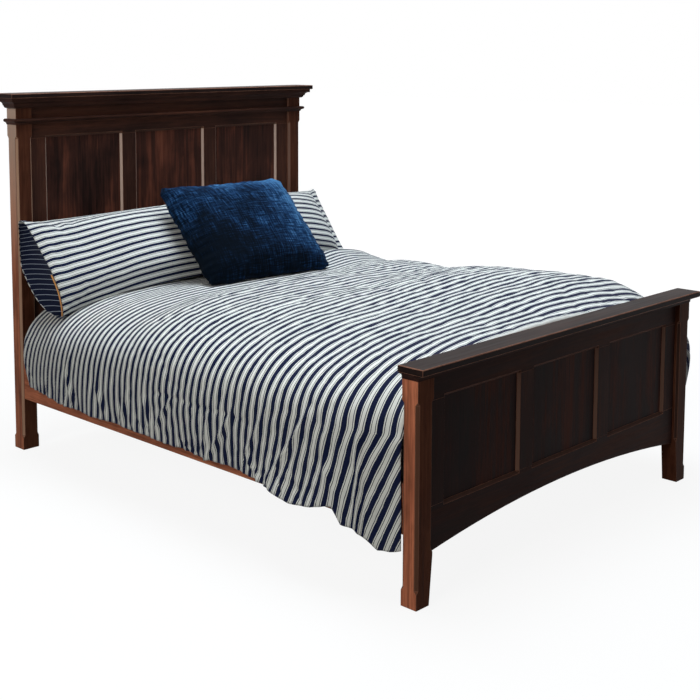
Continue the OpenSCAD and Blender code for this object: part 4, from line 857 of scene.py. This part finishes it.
# Pillows: two feather pillows in the same striped cotton, leaning on each other's ends and on
# the duvet. Front and back panels are sewn together all round, and the filling swells them.
# The near one's open end shows a navy lining with thin white lines, edged with a tan strip.
def swell(piece, pressure, farthest, frames=18):
    """Lets the filling push the sewn cover out by a cloth simulation, no point beyond the cap."""
    count = len(piece.data.vertices)
    start = np.zeros(count * 3)
    piece.data.vertices.foreach_get("co", start)
    stuffing = piece.modifiers.new("stuffing", "CLOTH")
    fabric = stuffing.settings
    fabric.quality = 5
    fabric.mass = 0.3
    fabric.tension_stiffness = 14
    fabric.compression_stiffness = 14
    fabric.shear_stiffness = 6
    fabric.bending_stiffness = 0.6
    fabric.use_pressure = True
    fabric.uniform_pressure_force = pressure
    fabric.effector_weights.gravity = 0
    stuffing.collision_settings.use_collision = False
    stuffing.point_cache.frame_start = 1
    stuffing.point_cache.frame_end = frames
    for moment in range(1, frames + 1):
        scene.frame_set(moment)
    swollen = piece.evaluated_get(bpy.context.evaluated_depsgraph_get())
    end = np.zeros(count * 3)
    swollen.data.vertices.foreach_get("co", end)
    piece.modifiers.remove(stuffing)
    scene.frame_set(1)
    moved = (end - start).reshape(-1, 3)
    length = np.linalg.norm(moved, axis=1, keepdims=True)
    moved *= np.minimum(1, farthest / np.maximum(length, 1e-9))
    piece.data.vertices.foreach_set("co", (start + moved.ravel()))
    piece.data.update()


pillow_length = 862.0
pillow_height = 442.0
pillow_thick = 190.0 * 0.90
end_flap = 75.0
pillow_seam = 5.0
pillow_rows, pillow_columns = 96, 60
head_front = 1051.5
pillow_back = head_front - 46
pillow_slope, pillow_top, top_off_head = 40, bed_top + 380, 60
inner_gap, corner_draw = 6, 50


def pillow_nets(side, end_slope, mouth):
    """Front and back nets of a pillow, from its inner end to its outer one, and their lengths.

    The slope grows by end_slope degrees to the outer end, which gapes as wide as the mouth.
    """
    nets = {face: np.zeros((pillow_rows, pillow_columns, 3)) for face in (1, -1)}
    lengths = np.zeros((pillow_rows, pillow_columns))
    gape = np.zeros((pillow_rows, pillow_columns))
    even = np.linspace(-1, 1, pillow_columns)
    v = np.sin(math.pi / 2 * even) * 0.35 + even * 0.65
    rounded = np.clip(1 - np.abs(v) ** 2.4, 0, 1) ** 0.62
    body = pillow_length - end_flap
    for row, u in enumerate(np.linspace(0, 1, pillow_rows)):
        s = u * pillow_length
        slope = math.radians(pillow_slope + end_slope * u ** 1.4)
        half = pillow_height / 2 * (1 - 0.05 * math.sin(math.pi * u))
        plump = max(1 - abs(2 * s / body - 1) ** 2.6, 0) ** 0.5 if s < body else 0
        thick = pillow_seam + (pillow_thick - pillow_seam) * plump
        open_end = eased((s - body * 0.55) / (body * 0.4)) if mouth else 0.0
        thick = thick + (mouth - thick) * open_end
        crumple = np.array([3 * noise.noise(Vector((u * 5, w * 1.8, side * 9.0)))
                            + (1.5 + 8 * open_end) * noise.noise(Vector((u * 15, w * 1.5, side * 4.0)))
                            for w in v])
        pinned = np.clip(1 - np.abs(v) ** 6, 0, 1) * min(1, plump * 1.5 + open_end)
        middle_y = head_front - top_off_head - half * math.cos(slope)
        middle_z = pillow_top - half * math.sin(slope)
        x = side * (inner_gap + s - corner_draw * eased(u) * (1 - v) / 2)
        for face, net in nets.items():
            part = 0.5 - face * 0.14 * open_end
            bulk = np.maximum(thick * part * rounded, pillow_seam / 2)
            bulk = bulk + (crumple * pinned if face > 0 else 0)
            net[row, :, 0] = x
            net[row, :, 1] = middle_y + v * half * math.cos(slope) - face * bulk * math.sin(slope)
            net[row, :, 2] = middle_z + v * half * math.sin(slope) + face * bulk * math.cos(slope)
        lengths[row] = s
        gape[row] = thick * rounded * open_end
    middle = nets[1][pillow_rows // 2]
    climb = np.concatenate([[0], np.cumsum(np.linalg.norm(np.diff(middle, axis=0), axis=1))])
    climb = np.broadcast_to(climb, lengths.shape)
    return nets[1], nets[-1], lengths, climb, climb - 0.5 * gape


def hollow_mouth(piece, rim_width, depth):
    """Pushes a pillow's open end inwards behind a narrow rim, so that its lining shows."""
    bm = bmesh.new()
    bm.from_mesh(piece.data)
    opening = [face for face in bm.faces if face.material_index == 1]
    for face in bmesh.ops.inset_region(bm, faces=opening, thickness=rim_width,
                                       use_even_offset=True)["faces"]:
        face.material_index = 1
    inner = {vert for face in opening for vert in face.verts}
    bmesh.ops.translate(bm, verts=list(inner), vec=(depth, 0, 0))
    for face in bm.faces:
        face.smooth = True
    bm.to_mesh(piece.data)
    bm.free()


# The pillows' cream is a little darker than the duvet's cream, as painted shade.
pillow_cream = (0.85, 0.86, 0.82)
lining_navy, lining_white = (0.006, 0.010, 0.032), (0.42, 0.48, 0.58)
pillow_ticking = striped_cotton("pillow_ticking_stripe", pillow_cream, navy, 0.030, 0.37,
                                [(0.57, 0.10)])
lining = striped_cotton("navy_lining", lining_navy, lining_white, 0.0225, 0.09, [])
tan_cloth = woven("tan_cloth", (0.72, 0.34, 0.11), thread=0.0008)
for side, tag, body, end_slope, mouth in ((-1, "near", "pillow_left", 21, 168),
                                          (1, "far", "pillow_right", 9, 0)):
    front, back, along, climb, back_climb = pillow_nets(side, end_slope, mouth)
    bm = bmesh.new()
    rim, order = two_faced(bm, front, back, along, climb, back_climb)
    bmesh.ops.recalc_face_normals(bm, faces=bm.faces)
    end_points = set(order[-1].tolist()) if mouth else set()
    for face in rim:
        if sum(vert.index in end_points for vert in face.verts) == 2:
            face.material_index = 1
    pillow = finish_mesh(bm, f"{tag}_pillow", pillow_ticking, lining)
    swell(pillow, pressure=3.0, farthest=0.016)
    if mouth:
        mouth_edge = np.array([pillow.data.vertices[k].co for k in order[-1][1:24]]) * 1000
        hollow_mouth(pillow, rim_width=0.003, depth=-side * 0.045)
        strip = settle(mouth_edge, gap=4.0) / 1000 + (side * 0.001, -0.001, 0)
        edging = sewn_cord("tan_edging", strip, 0.0028, tan_cloth, closed=False, round_steps=2)
        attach(edging, body)
    lay_on_duvet(pillow, gap=1.6, farthest_back=pillow_back)
    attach(pillow, body)
    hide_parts(body)


# Cushion: a square feather cushion in slubby indigo denim with knife edges and pinched corners.
# It leans back on the two pillows and stands with its lower edge in the duvet.
def denim_cloth():
    """Cross-woven slubs, dyed unevenly, and darker towards the lower near corner as painted shade."""
    made = empty_material("indigo_denim")
    uv = new_node(made, "ShaderNodeUVMap", uv_map="cloth").outputs[0]

    def threads(across, along, detail, seed):
        mapped = stretched(made, uv, (across, along, 1), (seed, seed, 0))
        return noise_at(made, mapped, detail, rough=0.65)

    warp = threads(across=170.0, along=13.0, detail=3, seed=0.0)
    weft = threads(across=15.0, along=190.0, detail=3, seed=5.0)
    fine_warp = threads(across=1100.0, along=150.0, detail=2, seed=9.0)
    fade = threads(across=5.0, along=5.0, detail=3, seed=13.0)
    place = new_node(made, "ShaderNodeSeparateXYZ", {0: uv}).outputs
    slubs = weighted(made, (weft, 0.5), (warp, 0.5))
    # The cloth's place paints shade: darker towards the lower near corner.
    mixed = weighted(made, (place[1], 0.20), (place[0], 0.20), (fade, 0.30), (slubs, 0.70))
    indigo = colour_ramp(made, mixed, [(0.40, (0.0012, 0.0035, 0.0075)),
                                       (0.48, (0.0024, 0.0085, 0.022)),
                                       (0.555, (0.010, 0.040, 0.115)),
                                       (0.65, (0.080, 0.230, 0.460))])
    weave = weighted(made, (fine_warp, 0.3), (slubs, 0.8))
    relief = new_node(made, "ShaderNodeBump", {"Strength": 0.6, "Distance": 0.0016, "Height": weave})
    coat_with(made, {"Base Color": indigo, "Roughness": 0.92, "Normal": relief.outputs[0],
                     "Specular IOR Level": 0.03, "Sheen Weight": 0.01, "Sheen Roughness": 0.6})
    return made


cushion_width = 694.0
cushion_height = 568.0
cushion_thick = 190.0 * 0.88
cushion_seam = 6.0
cushion_steps = 76
cushion_x = 48
cushion_foot = head_front - 645
sunk_in = 8
lean = math.radians(44)
turned = math.radians(5)
side_bow, top_bow, foot_bow = 16, 44, 20
pucker_run, pucker_width = 34, 5.2
above_foot = Vector((cushion_x * mm, cushion_foot * mm, 2))
foot_top = duvet_tree.ray_cast(above_foot, Vector((0, 0, -1)))[0].z * 1000
nets = {face: np.zeros((cushion_steps, cushion_steps, 3)) for face in (1, -1)}
side_range = np.linspace(-1, 1, cushion_steps)
u, v = np.meshgrid(side_range, side_range)
draw_u = 1 - side_bow / cushion_width * (1 - np.abs(v) ** 2.5)
draw_v = 1 - np.where(v > 0, top_bow, foot_bow) / cushion_height * (1 - np.abs(u) ** 2.5)
corner_round = 1 - 0.055 * np.abs(u * v) ** 7
wavy_u = 1 + 0.012 * np.sin(v * 17 + 1.6 * np.sin(v * 7)) * np.abs(u) ** 8
wavy_v = 1 + 0.013 * np.sin(u * 19 + 1.9 * np.sin(u * 6)) * np.abs(v) ** 8
across = u * cushion_width / 2 * draw_u * corner_round * wavy_u
climb = v * cushion_height / 2 * draw_v * corner_round * wavy_v
plump = np.clip((1 - np.abs(u) ** 2.2) * (1 - np.abs(v) ** 2.2), 0, 1) ** 0.48
edge_u = (1 - np.abs(u)) * cushion_width / 2
edge_v = (1 - np.abs(v)) * cushion_height / 2
puckers = (np.exp(-edge_u / pucker_run) * np.sin(climb / pucker_width + 2.0 * np.sin(climb / 41.0))
           + np.exp(-edge_v / pucker_run) * np.sin(across / pucker_width + 2.0 * np.sin(across / 37.0)))
dents = np.array([[noise.noise(Vector((a * 1.8, b * 1.8, 3.3))) for a in side_range]
                  for b in side_range])
bulk = cushion_seam / 2 + (cushion_thick - cushion_seam) / 2 * plump * (
    1 + 0.16 * puckers + 0.16 * dents)
for face, net in nets.items():
    up_y = climb * math.cos(lean) - face * bulk * math.sin(lean)
    up_z = climb * math.sin(lean) + face * bulk * math.cos(lean)
    net[:, :, 0] = cushion_x + across * math.cos(turned) + up_y * math.sin(turned)
    net[:, :, 1] = (cushion_foot + cushion_height / 2 * math.cos(lean) - across * math.sin(turned)
                    + up_y * math.cos(turned))
    net[:, :, 2] = foot_top - sunk_in + cushion_height / 2 * math.sin(lean) + up_z
bm = bmesh.new()
two_faced(bm, nets[1], nets[-1], u * cushion_width / 2, v * cushion_height / 2)
bmesh.ops.recalc_face_normals(bm, faces=bm.faces)
cushion = finish_mesh(bm, "denim_cushion_cover", denim_cloth())
swell(cushion, pressure=4.0, farthest=0.014)
lay_on_duvet(cushion, gap=1.5)
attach(cushion, "denim_cushion")
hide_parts("denim_cushion")
